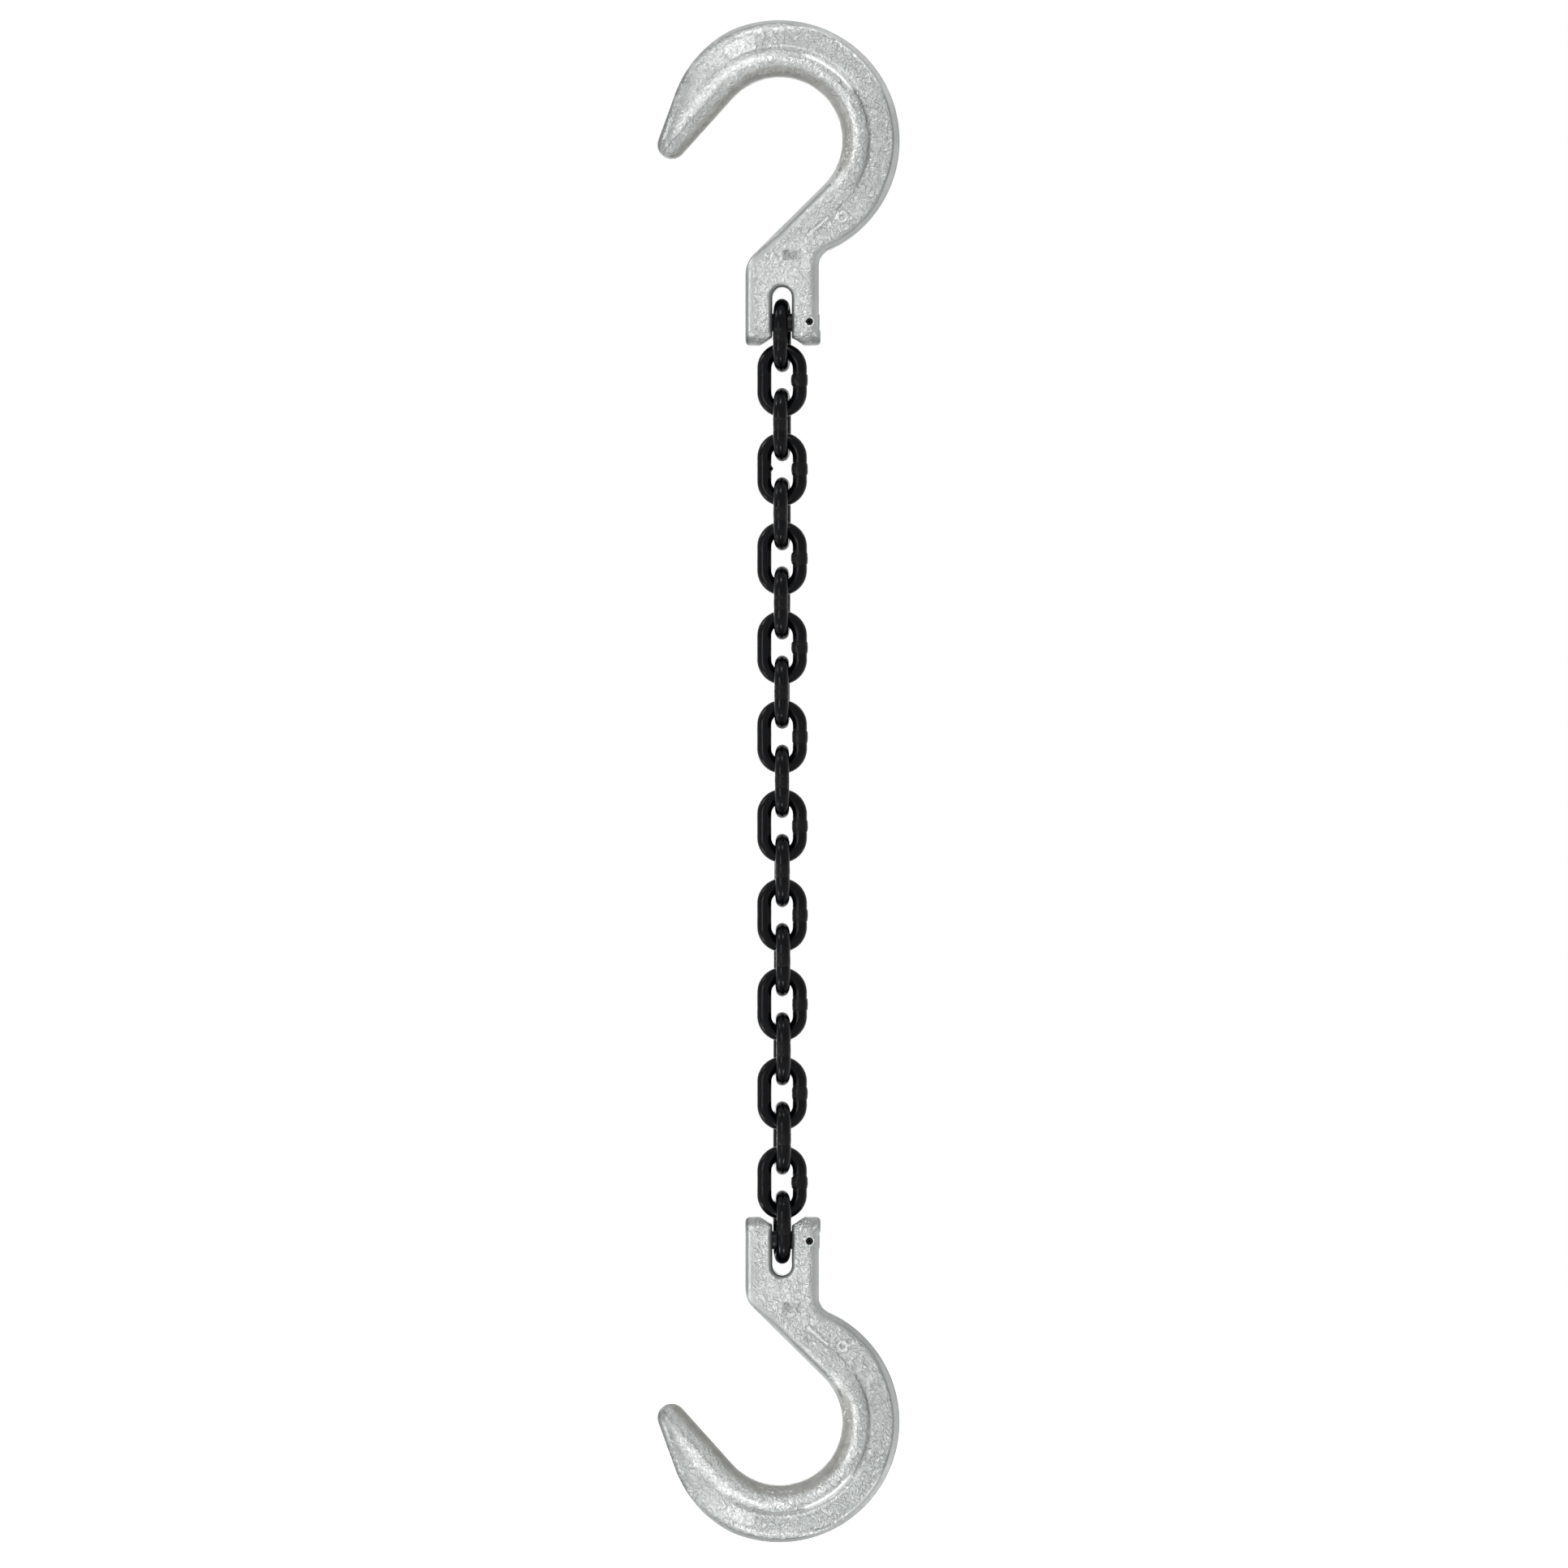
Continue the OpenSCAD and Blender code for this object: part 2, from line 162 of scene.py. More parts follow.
INNER_STEPS = np.radians(np.arange(0, 91, 15))
FLANK_STEPS = np.radians([24, 48, 70, 90])
OUTER_STEPS = np.radians([25, 50, 70, 90])
FLAT_STEPS = 7
HALF_POINTS = 18


def bowl_half(groove):
    """The bowl: land, inner flank, bead, groove, web and the rounded edge at the back."""
    web_top = WEB_T / 2
    floor = web_top - GROOVE_DEPTH * groove
    edge_top = web_top - WEB_FALL
    groove_end = web_top - GROOVE_DEPTH * groove / GROOVE_END_PART
    inner_x = CREST_SHARE * (1 - np.cos(INNER_STEPS))
    inner_y = LAND_W / 2 + (BEAD_T - LAND_W) / 2 * np.sin(INNER_STEPS)
    flank_x = CREST_SHARE + (GROOVE_SHARE - CREST_SHARE) * np.sin(FLANK_STEPS)
    flank_y = floor + (BEAD_T / 2 - floor) * np.cos(FLANK_STEPS)
    web = [[GROOVE_END_SHARE, groove_end], [WEB_SHARE, web_top], [WEB_EDGE_SHARE, edge_top]]
    back_x = WEB_EDGE_SHARE + (1 - WEB_EDGE_SHARE) * np.sin(OUTER_STEPS)
    back_y = RIM_EDGE_T / 2 + (edge_top - RIM_EDGE_T / 2) * np.cos(OUTER_STEPS)
    return np.vstack([np.c_[inner_x, inner_y], np.c_[flank_x, flank_y], web, np.c_[back_x, back_y]])


def clevis_half():
    """The clevis: a flat plate with rounded edges."""
    inner_x = EDGE_IN_R * (1 - np.cos(INNER_STEPS)) / CLEVIS_W
    inner_y = CLEVIS_T / 2 - EDGE_IN_R * (1 - np.sin(INNER_STEPS))
    across = np.arange(1, FLAT_STEPS + 1) / FLAT_STEPS
    flat_x = EDGE_IN_R / CLEVIS_W + (1 - (EDGE_IN_R + EDGE_OUT_R) / CLEVIS_W) * across
    flat_y = np.full(FLAT_STEPS, CLEVIS_T / 2)
    back_x = 1 - EDGE_OUT_R * (1 - np.sin(OUTER_STEPS)) / CLEVIS_W
    back_y = CLEVIS_T / 2 - EDGE_OUT_R * (1 - np.cos(OUTER_STEPS))
    return np.vstack([np.c_[inner_x, inner_y], np.c_[flat_x, flat_y], np.c_[back_x, back_y]])


def tip_half():
    """The tip: an oval."""
    side = math.radians(TIP_SIDE)
    a = np.linspace(side, math.pi - side, HALF_POINTS)
    return np.c_[(math.cos(side) - np.cos(a)) / (2 * math.cos(side)), TIP_T / 2 * np.sin(a)]


def finer(half):
    """A smooth curve through the half section's points."""
    p = np.vstack([2 * half[0] - half[1], half, 2 * half[-1] - half[-2]])
    t = (np.arange(SPAN_POINTS) / SPAN_POINTS)[:, None]
    spans = [
        0.5 * (2 * b + (c - a) * t + (2 * a - 5 * b + 4 * c - d) * t**2 + (3 * b - a - 3 * c + d) * t**3)
        for a, b, c, d in zip(p[:-3], p[1:-2], p[2:-1], p[3:])
    ]
    return np.vstack([*spans, half[-1:]])


def ring(half, inner, outer, start, direction, thin=1.0):
    """A closed ring of points across the forging, from start along direction, in the XZ plane."""
    half = finer(half)
    across = inner + (outer - inner) * half[:, 0]
    across = np.concatenate([across, across[::-1]])
    height = np.concatenate([half[:, 1], -half[::-1, 1]]) * thin
    return np.column_stack([start[0] + across * direction[0], height, start[1] + across * direction[1]])


# The neck's section planes fan about the point where the bowl's last plane meets the clevis's top plane. On
# the way the section blends from the clevis's to the bowl's.
FAN = np.array([CLEVIS_DROP, -CLEVIS_DROP])
FAN_START = 180
FAN_END = 135
FAN_BLEND = 40
CORNER_CENTRE = np.array([CLEVIS_LEFT + CORNER_R, -CORNER_DROP])
SHOULDER_CENTRE = np.array([SHOULDER_X, -SHOULDER_DROP])


def fan_angle(point):
    return math.degrees(math.atan2(point[1] - FAN[1], point[0] - FAN[0]))


def ray_circle(direction, centre, r, far):
    """Distance from the fan's point to where a ray crosses a circle, on its near or far side."""
    to = centre - FAN
    along = float(to @ direction)
    half_chord = math.sqrt(max(r * r - (float(to @ to) - along * along), 0.0))
    return along + half_chord if far else along - half_chord


def neck_inside(a):
    if a < fan_angle(CORNER_CENTRE + CORNER_R * turn(135)):
        return (2 * CLEVIS_DROP - math.sqrt(2) * BOWL_R) / (turn(a)[1] - turn(a)[0])
    if a < fan_angle(np.array([CLEVIS_LEFT, -CORNER_DROP])):
        return ray_circle(turn(a), CORNER_CENTRE, CORNER_R, True)
    return (CLEVIS_LEFT - CLEVIS_DROP) / turn(a)[0]


def neck_back(a):
    if a < fan_angle(SHOULDER_CENTRE * RIM_R / (RIM_R + SHOULDER_R)):
        return ray_circle(turn(a), np.zeros(2), RIM_R, False)
    if a < fan_angle(np.array([CLEVIS_RIGHT, -SHOULDER_DROP])):
        return ray_circle(turn(a), SHOULDER_CENTRE, SHOULDER_R, True)
    return (CLEVIS_RIGHT - CLEVIS_DROP) / turn(a)[0]


def neck_rings():
    across = (CLEVIS_DROP - CLEVIS_LEFT, CLEVIS_DROP - CLEVIS_RIGHT)
    rings = [
        ring(clevis_half(), *across, [CLEVIS_DROP, -CLEVIS_DROP - below], turn(FAN_START))
        for below in (CLEVIS_OVERLAP, CLEVIS_OVERLAP / 2)
    ]
    for a in np.arange(FAN_START, FAN_END, -RING_STEP):
        k = smooth((a - FAN_END) / FAN_BLEND)
        half = bowl_half(0) * (1 - k) + clevis_half() * k
        rings.append(ring(half, neck_inside(a), neck_back(a), FAN, turn(a)))
    return rings


def bowl_rings():
    rings = []
    for a in np.arange(NECK_START, BOWL_END, RING_STEP):
        groove = smooth((a - GROOVE_START) / (GROOVE_FULL - GROOVE_START))
        rings.append(ring(bowl_half(groove), BOWL_R, RIM_R, np.zeros(2), turn(a)))
    return rings


def tip_arc_drop(s):
    return TIP_ARC_R - math.sqrt(TIP_ARC_R**2 - (s + TIP_ARC_LEAD) ** 2)


# Along the tip from the bowl's end: its back is an arc, then a line that closes on the inside edge, then the
# rounded end
TAPER = math.radians(TIP_TAPER)
LINE_S = TIP_ARC_R * math.sin(TAPER) - TIP_ARC_LEAD
LINE_U = RIM_R - TIP_SHRINK - tip_arc_drop(LINE_S) + tip_arc_drop(0)
TIP_MID_U = BOWL_R + TIP_R
END_S = LINE_S + (LINE_U - TIP_MID_U - TIP_R / math.cos(TAPER)) / math.tan(TAPER)


def tip_back(s):
    """How far out the tip's back lies, a distance s along the tip."""
    if s < LINE_S:
        return RIM_R - TIP_SHRINK - tip_arc_drop(s) + tip_arc_drop(0)
    return LINE_U - (s - LINE_S) * math.tan(TAPER)


def tip_rings():
    """The tip's rings: round the end of the bowl, then straight on, then over the rounded end."""
    bend_l = math.radians(TIP_ANGLE - BOWL_END) * (BOWL_R + RIM_R) / 2
    rings = []
    for a in np.arange(BOWL_END, TIP_ANGLE, RING_STEP):
        k = (a - BOWL_END) / (TIP_ANGLE - BOWL_END)
        tip_share = smooth(k * bend_l / (bend_l + END_S))
        half = bowl_half(1) * (1 - tip_share) + tip_half() * tip_share
        outer = RIM_R - TIP_SHRINK * k**TIP_SHRINK_POWER
        rings.append(ring(half, BOWL_R, outer, np.zeros(2), turn(a)))
    cap = [END_S + TIP_R * math.sin(math.radians(a)) for a in CAP_STEPS]
    for s in [*np.arange(0, END_S, RING_STEP), *cap]:
        tip_share = smooth((bend_l + s) / (bend_l + END_S))
        half = bowl_half(1) * (1 - tip_share) + tip_half() * tip_share
        round_off = math.sqrt(max(1 - ((s - END_S) / TIP_R) ** 2, 0)) if s > END_S else 1.0
        inner = TIP_MID_U - TIP_R * round_off
        outer = tip_back(s) if s < END_S + TIP_R * math.sin(TAPER) else TIP_MID_U + TIP_R * round_off
        rings.append(ring(half, inner, outer, s * turn(TIP_ANGLE + 90), turn(TIP_ANGLE), round_off))
    return rings


def mesh_of(name, points, faces):
    """A mesh from points in millimetres."""
    mesh = bpy.data.meshes.new(name)
    mesh.from_pydata((np.asarray(points) * MM).tolist(), [], [list(f) for f in faces])
    mesh.update()
    return mesh


def grid_faces(rows, n, closed):
    """The faces between rows of n points, each row a ring; when closed, the last row joins the first."""
    return [
        (i * n + j, i * n + (j + 1) % n, (i + 1) % rows * n + (j + 1) % n, (i + 1) % rows * n + j)
        for i in range(rows if closed else rows - 1)
        for j in range(n)
    ]


def lofted(rings):
    n = len(rings[0])
    last = len(rings) - 1
    ends = [range(n - 1, -1, -1), range(last * n, last * n + n)]
    return np.vstack(rings), grid_faces(last + 1, n, False) + ends


def points_of(mesh):
    """A mesh's points in millimetres."""
    co = np.empty(len(mesh.vertices) * 3, np.float32)
    mesh.vertices.foreach_get("co", co)
    return co.reshape(-1, 3).astype(float) / MM


def move_points(mesh, points):
    mesh.vertices.foreach_set("co", (points * MM).astype(np.float32).ravel())
    mesh.update()


def normals_of(mesh):
    normals = np.empty(len(mesh.vertices) * 3, np.float32)
    mesh.vertices.foreach_get("normal", normals)
    return normals.reshape(-1, 3).astype(float)


def add_object(name, mesh, smooth_faces=True):
    if smooth_faces:
        mesh.shade_smooth()
    obj = bpy.data.objects.new(name, mesh)
    bpy.context.scene.collection.objects.link(obj)
    return obj


def clevis_from_frame(bm):
    """Adds the ears, with their slot and holes, as the frame has them, to the mesh being built."""
    part = bmesh.new()
    part.from_mesh(frame["nodes"]["top_hook"].data)
    bmesh.ops.remove_doubles(part, verts=part.verts, dist=MERGE_DISTANCE * MM)
    place = (0, 0, -(CLEVIS_DROP + EARS_OVERLAP) * MM)
    everything = [*part.verts, *part.edges, *part.faces]
    bmesh.ops.bisect_plane(part, geom=everything, plane_co=place, plane_no=(0, 0, 1), clear_outer=True)
    rim = [e for e in part.edges if e.is_boundary]
    bmesh.ops.edgeloop_fill(part, edges=rim)
    mesh = bpy.data.meshes.new("ears")
    part.to_mesh(mesh)
    part.free()
    bm.from_mesh(mesh)
    bpy.data.meshes.remove(mesh)


def forging():
    """The bare forging as one even, fine mesh, about the centre of its bowl."""
    bm = bmesh.new()
    loft = mesh_of("loft", *lofted(neck_rings() + bowl_rings() + tip_rings()))
    bm.from_mesh(loft)
    bpy.data.meshes.remove(loft)
    clevis_from_frame(bm)
    mesh = bpy.data.meshes.new("forging")
    bm.to_mesh(mesh)
    bm.free()
    obj = add_object("forging", mesh)
    remesh = obj.modifiers.new("remesh", "REMESH")
    remesh.mode = "VOXEL"
    remesh.voxel_size = VOXEL * MM
    soften = obj.modifiers.new("soften", "SMOOTH")
    soften.factor = SOFTENING
    soften.iterations = SOFTENING_STEPS
    evaluated = obj.evaluated_get(bpy.context.evaluated_depsgraph_get())
    fine = bpy.data.meshes.new_from_object(evaluated)
    bpy.data.objects.remove(obj)
    bpy.data.meshes.remove(mesh)
    return fine


# How far each seed moves the noise, how fast its octaves fall off, and how much finer each one is
SEED_SHIFT = (17.3, 5.1, 9.7)
NOISE_FALL = 0.6
NOISE_FINER = 2.1


def noise_at(points, scale, seed, octaves=3):
    """Fractal noise of about -1 to 1 at points in millimetres; scale is the size of its largest lumps."""
    shift = Vector([seed * step for step in SEED_SHIFT])
    at = noise.fractal
    return np.array([at(Vector(p) / scale + shift, NOISE_FALL, NOISE_FINER, octaves) for p in points])


def near_line(points, a, b):
    """Distance of points in the XZ plane from the line between a and b."""
    a, b = np.array(a), np.array(b)
    along = np.clip(((points - a) @ (b - a)) / ((b - a) @ (b - a)), 0, 1)
    return np.linalg.norm(points - a - along[:, None] * (b - a), axis=1)


# The forging's surface is made of marks, each a share from 0 to 1 for every point. These tables say by how
# many millimetres a mark stands out, how strongly it lightens the paint with painted light or darkens it
# with painted shade, and how smooth it leaves the skin.
RELIEF = {
    "groove": -0.25,
    "groove_swell": 0.42,
    "rim_step": -0.35,
    "tip_fall": -0.768,
    "pad": 0.4,
    "scribe": 0.8,
    "ejector": 0.75,
    "ejector_hollow": -0.2,
    "recess": -0.45,
    "pits": -0.4,
}
LIGHT = {
    "crest": 1.0,
    "groove_wall": 2.1,
    "groove_lip": 0.36,
    "step_edge": 0.6,
    "back_light": 0.5,
    "web_light": 0.22,
    "rim_light": 0.25,
    "clevis_light": 0.16,
    "neck_light": 0.1,
    "neck_line": 0.18,
    "hole_ring": 1.0,
    "pad": 0.2,
    "scribe": 0.7,
    "ejector": 0.55,
}
SHADE = {
    "flank_start": 0.3,
    "flank_top": 0.3,
    "far_flank": 1.0,
    "groove_line": 1.0,
    "step": 1.0,
    "step_foot": 0.3,
    "contour": 0.25,
    "shoulder_line": 0.35,
    "rim_line": 1.0,
    "edge_line": 0.75,
    "bevel": 0.95,
    "nose": 0.25,
    "side": 0.22,
    "tip_crease_shade": 0.4,
    "tip_side": 0.56,
    "tip_back": 0.2,
    "tip_wall": 1.0,
    "tip_end_back": 0.18,
    "pad_edge": 0.45,
    "scribe_sides": 0.5,
    "ejector_hollow": 0.15,
    "ejector_outside": 0.3,
    "recess_shade": 1.0,
    "pits": 1.0,
}
SMOOTHNESS = {
    "flank": 0.75,
    "groove_skin": 0.3,
    "groove_wall": 0.56,
    "rim_band": 0.85,
    "edge": 0.9,
    "bevel": 1.0,
    "nose": 0.6,
}
TIP_SMOOTHNESS = {"towards_tip": 0.2, "tip_side": 0.35, "tip_end": 0.4}
# The sizes of the noise: what makes edges wander, the lumps left by scale, and the finer grain over them
WANDER_SIZE = 9.0
LUMP_SIZE = 7.0
LUMP_HEIGHT = 0.12
GRAIN_SIZE = 2.6
GRAIN_HEIGHT = 0.07
# How much of the lumps and the grain a smooth skin takes away
SMOOTHED = 0.85


def rise(value, start, width):
    """0 up to the start, growing to 1 over the width."""
    return smooth((value - start) / width)


def fall(value, start, width):
    """1 up to the start, falling to 0 over the width."""
    return 1 - smooth((value - start) / width)


def band(value, middle, half_width):
    """1 at the middle, falling to 0 on both sides of it."""
    return 1 - smooth(np.abs(value - middle) / half_width)


def between(value, low, high, soft):
    """1 from low to high, falling to 0 over the distance soft outside them."""
    return smooth((value - low + soft) / soft) * smooth((high + soft - value) / soft)


def blend(ends, share):
    """From the first of two ends to the second."""
    return ends[0] + (ends[1] - ends[0]) * share


def weighted(marks, weights):
    return sum(weight * marks[name] for name, weight in weights.items())


# In what follows, two numbers in brackets say where a mark starts and over what width it grows or fades, or
# its middle and half its width, or its values at the two ends of a blend. Three are for between. Angles go
# round the bowl in degrees from the right. An inset is a distance in from the hook's inside edge, and a
# depth is one from its back.

# The front-back part of a point's normal: from where it is on a broad face, and up to where on a side
FACE_NORMAL = (0.35, 0.4)
SIDE_NORMAL = (0.12, 0.4)
# The angles that stand for the whole neck and the whole tip
NECK_ANGLE = -45.0
ON_TIP_ANGLE = 140.0
SHOULDER_ZONE = (-40, 18)
TOWARDS_TIP = (100, 30)
CLEVIS_ZONE = (-82, 20)
TIP_ROOT = (0, 14)
FAR_AWAY = 99.0


def from_back(flat, r):
    """Distance in from the hook's back: the rim, then the hollow of the shoulder, then the clevis's side."""
    x, z = flat.T
    to_shoulder = flat - SHOULDER_CENTRE
    bearing = np.degrees(np.arctan2(to_shoulder[:, 1], to_shoulder[:, 0])) % 360
    rim_bearing = math.degrees(math.atan2(SHOULDER_DROP, -SHOULDER_X))
    hollow = np.linalg.norm(to_shoulder, axis=1) - SHOULDER_R
    in_hollow = (bearing > rim_bearing) & (bearing < 180) & (z < -BOWL_R / 2)
    return np.where(in_hollow, hollow, np.where(z < -SHOULDER_DROP, CLEVIS_RIGHT - x, RIM_R - r))


class Skin:
    """The points of the forging's surface, by the measures that its marks are placed by."""

    def __init__(self, points, normals):
        self.flat = points[:, [0, 2]]
        self.x, self.z = self.flat.T
        self.r = np.hypot(self.x, self.z)
        self.face = rise(np.abs(normals[:, 1]), *FACE_NORMAL)
        self.side = fall(np.abs(normals[:, 1]), *SIDE_NORMAL)
        # The tip runs on straight from the bowl, and the inset is measured across it. From the neck on, the
        # inside edge is first the slant under the bowl and then the clevis's left side.
        self.u = self.flat @ turn(TIP_ANGLE)
        self.s = self.flat @ turn(TIP_ANGLE + 90)
        self.on_tip = (self.s > 0) & (self.u > BOWL_R / 2)
        self.on_neck = (self.z < -self.x) & (self.z < 0)
        slant = (self.x - self.z) / math.sqrt(2) - BOWL_R
        left_side = self.x - CLEVIS_LEFT
        self.by_left_side = left_side < slant
        self.angle = self.by_zone(ON_TIP_ANGLE, NECK_ANGLE, np.degrees(np.arctan2(self.z, self.x)))
        self.inset = self.by_zone(self.u - BOWL_R, np.minimum(slant, left_side), self.r - BOWL_R)
        self.depth = from_back(self.flat, self.r)
        self.shoulder = fall(self.angle, *SHOULDER_ZONE)
        self.clevis = fall(self.z, *CLEVIS_ZONE)
        self.towards_tip = rise(self.angle, *TOWARDS_TIP)
        self.past_root = rise(self.s, *TIP_ROOT)

    def by_zone(self, on_tip, on_neck, on_bowl):
        return np.where(self.on_tip, on_tip, np.where(self.on_neck, on_neck, on_bowl))


# The inner flank, in a darker grey: its start, its widths in the bowl and at the tip, and its wandering,
# soft edge
FLANK_START = (-38, 22)
FLANK_WIDTHS = (5.9, 3.8)
FLANK_WANDER = 0.9
FLANK_EDGE = 3.2
# Its shade at the lower end and at the top
LOW_SHADE_ANGLES = (35, 30)
LOW_SHADE_INSETS = (1.6, 1.5)
TOP_SHADE_ANGLES = (44, 112, 16)
TOP_SHADE_INSETS = (5.4, 3.2)
# The smoother grey side of the bead next to it, near the tip, and the crease where that ends, a line of
# painted shade
GREY_SHARE = 0.3
GREY_START = (85, 25)
GREY_INSET = 10.5
GREY_WANDER = 0.8
GREY_EDGE = 1.6
CREASE_START = (132, 8)
CREASE_INSET = 10.6
CREASE_WANDER = 0.5
CREASE_W = 1.2
# Round the bowl: where the highlight on the bead lies, and how strong it is
CREST_ANGLES = (-45, -25, -10, 20, 45, 80, 100, 140)
CREST_INSETS = (6.6, 7.2, 9.0, 9.8, 10.6, 12.0, 13.8, 15.2)
CREST_LIGHT = (0.1, 0.6, 0.7, 0.66, 0.36, 0.3, 0.65, 0.36)
CREST_WIDTHS = (3.4, 4.8)
# The same for the painted shade down the bead's far flank into the groove, and for the dark line of painted
# shade in the groove
FAR_FLANK_SHADE = (0.0, 0.25, 0.45, 0.3, 0.0, 0.0, 0.0, 0.0)
FAR_FLANK_START = (-36, 14)
FAR_FLANK_INSET = 13.0
FAR_FLANK_W = 6.3
FAR_FLANK_POWER = 1.5
FAR_FLANK_END = (19.6, 0.9)
GROOVE_LINE = (0.0, 0.05, 0.15, 0.3, 0.25, 0.35, 0.5, 0.0)


def round_bowl(angle, values):
    """The values given for CREST_ANGLES, at any angle."""
    return np.interp(angle, CREST_ANGLES, values)


def bead_marks(p, wander):
    flank_edge = blend(FLANK_WIDTHS, p.towards_tip) - FLANK_WANDER * wander
    inner_flank = rise(p.angle, *FLANK_START) * fall(p.inset, flank_edge, FLANK_EDGE)
    grey = rise(p.angle, *GREY_START) * fall(p.inset, GREY_INSET + GREY_WANDER * wander, GREY_EDGE)
    crease_at = CREASE_INSET + CREASE_WANDER * wander
    # The crest's painted highlight, and the painted shade down its far flank
    crest = band(p.inset, round_bowl(p.angle, CREST_INSETS) + wander, blend(CREST_WIDTHS, p.towards_tip))
    crest *= round_bowl(p.angle, CREST_LIGHT) * (1 - p.clevis * p.by_left_side) * p.face
    far_flank = np.clip((p.inset - FAR_FLANK_INSET) / FAR_FLANK_W, 0, 1) ** FAR_FLANK_POWER
    far_flank *= fall(p.inset, *FAR_FLANK_END) * rise(p.angle, *FAR_FLANK_START) * p.face
    return {
        "flank": np.maximum(inner_flank, GREY_SHARE * grey),
        "flank_start": inner_flank * fall(p.angle, *LOW_SHADE_ANGLES) * rise(p.inset, *LOW_SHADE_INSETS),
        "flank_top": between(p.angle, *TOP_SHADE_ANGLES) * band(p.inset, *TOP_SHADE_INSETS),
        "tip_crease_shade": rise(p.angle, *CREASE_START) * band(p.inset, crease_at, CREASE_W) * p.face,
        "crest": crest,
        "far_flank": far_flank * round_bowl(p.angle, FAR_FLANK_SHADE),
    }


# The groove beyond the bead, and the painted highlights on its two edges at the upper back
GROOVE_ANGLES = (-22, 112, 10)
GROOVE_INSETS = (19.4, 1.4)
GROOVE_SKIN_INSETS = (16, 20.6, 1.6)
GROOVE_LINE_INSETS = (19.8, 1.2)
WALL_ANGLES = (42, 66, 11)
WALL_INSETS = (17.9, 2.2)
LIP_ANGLES = (34, 118, 8)
LIP_INSETS = (21.7, 1.0)


def groove_marks(p):
    grooved = between(p.angle, *GROOVE_ANGLES)
    wall = band(p.inset, *WALL_INSETS) * between(p.angle, *WALL_ANGLES) * p.face
    return {
        "groove": band(p.inset, *GROOVE_INSETS) * grooved * p.face,
        "groove_skin": between(p.inset, *GROOVE_SKIN_INSETS) * grooved,
        "groove_line": band(p.inset, *GROOVE_LINE_INSETS) * round_bowl(p.angle, GROOVE_LINE) * p.face,
        "groove_wall": wall,
        "groove_swell": wall * p.face,
        "groove_lip": band(p.inset, *LIP_INSETS) * between(p.angle, *LIP_ANGLES) * p.face,
    }


# The step down to the smooth band that runs round the back and down the clevis's right side: its depth and
# width in the bowl and by the shoulder, where it ends, and where it is lower
STEP_DEPTHS = (4.5, 3.6)
STEP_WIDTHS = (0.8, 2.7)
STEP_END = (112, 22)
LOW_STEP_START = (66, 12)
LOW_STEP_LOSS = 0.7
# Its dark line and the dark outline behind it, both painted shade
STEP_MARGIN = 0.5
STEP_SHADES = (0.78, 0.3)
CONTOUR_DEPTHS = (0.3, 1.2)
# At the upper back the step has a painted highlight on its edge and painted shade at its foot, and the rim a
# painted light
UPPER_BACK_ANGLES = (32, 56, 10)
STEP_EDGE_DEPTHS = (4.8, 1.0)
STEP_FOOT_DEPTHS = (3.3, 1.8)
RIM_LIGHT_ANGLES = (24, 66, 14)
RIM_LIGHT_DEPTHS = (3.0, 0.8)
# Over the top the rim has a broad dark line of painted shade and a painted highlight beside it, and the web
# is painted lighter before the tip
RIM_LINE_ANGLES = (84, 134, 12)
RIM_LINE_DEPTHS = (3.6, 2.2)
RIM_LINE_FADE = (98, 30)
RIM_LINE_SHADES = (0.9, 0.4)
BACK_LIGHT_ANGLES = (84, 108, 8)
BACK_LIGHT_DEPTHS = (5.8, 1.8)
WEB_LIGHT_ANGLES = (110, 126, 12)
WEB_LIGHT_INSETS = (21, 33, 2)
# A soft line of painted shade along the back by the shoulder
SHOULDER_LINE_DEPTHS = (3.2, 0.9)


def rim_marks(p):
    step_at = blend(STEP_DEPTHS, p.shoulder)
    step_w = blend(STEP_WIDTHS, p.shoulder)
    before_tip = fall(p.angle, *STEP_END)
    low_step = rise(p.angle, *LOW_STEP_START)
    upper_back = between(p.angle, *UPPER_BACK_ANGLES) * ~p.on_neck
    rim_band = fall(p.depth, step_at, step_w) * before_tip
    step = band(p.depth, step_at, step_w + STEP_MARGIN) * before_tip * (1 - upper_back) * (1 - low_step)
    rim_line = between(p.angle, *RIM_LINE_ANGLES) * band(p.depth, *RIM_LINE_DEPTHS)
    web_light = between(p.angle, *WEB_LIGHT_ANGLES) * between(p.inset, *WEB_LIGHT_INSETS)
    return {
        "rim_band": rim_band,
        "rim_step": rim_band * (1 - LOW_STEP_LOSS * low_step) * p.face,
        "step": blend(STEP_SHADES, p.shoulder) * step * p.face,
        "contour": fall(p.depth, *CONTOUR_DEPTHS) * before_tip,
        "step_edge": upper_back * band(p.depth, *STEP_EDGE_DEPTHS) * p.face,
        "step_foot": upper_back * band(p.depth, *STEP_FOOT_DEPTHS) * p.face,
        "rim_light": between(p.angle, *RIM_LIGHT_ANGLES) * ~p.on_neck * fall(p.depth, *RIM_LIGHT_DEPTHS),
        "rim_line": blend(RIM_LINE_SHADES, rise(p.angle, *RIM_LINE_FADE)) * rim_line,
        "back_light": between(p.angle, *BACK_LIGHT_ANGLES) * band(p.depth, *BACK_LIGHT_DEPTHS) * p.face,
        "web_light": web_light * (1 - p.past_root) * p.face,
        "shoulder_line": p.shoulder * (1 - p.clevis) * band(p.depth, *SHOULDER_LINE_DEPTHS) * p.face,
    }


# The smooth inner edge of the neck and the clevis, and its dark line of painted shade, with its inset and
# width at either
EDGE_ANGLES = (-38, 14)
EDGE_INSETS = (5.0, 2.2)
EDGE_LINE_ANGLES = (-24, 14)
EDGE_LINE_INSETS = (3.3, 1.3)
EDGE_LINE_WIDTHS = (1.8, 1.9)
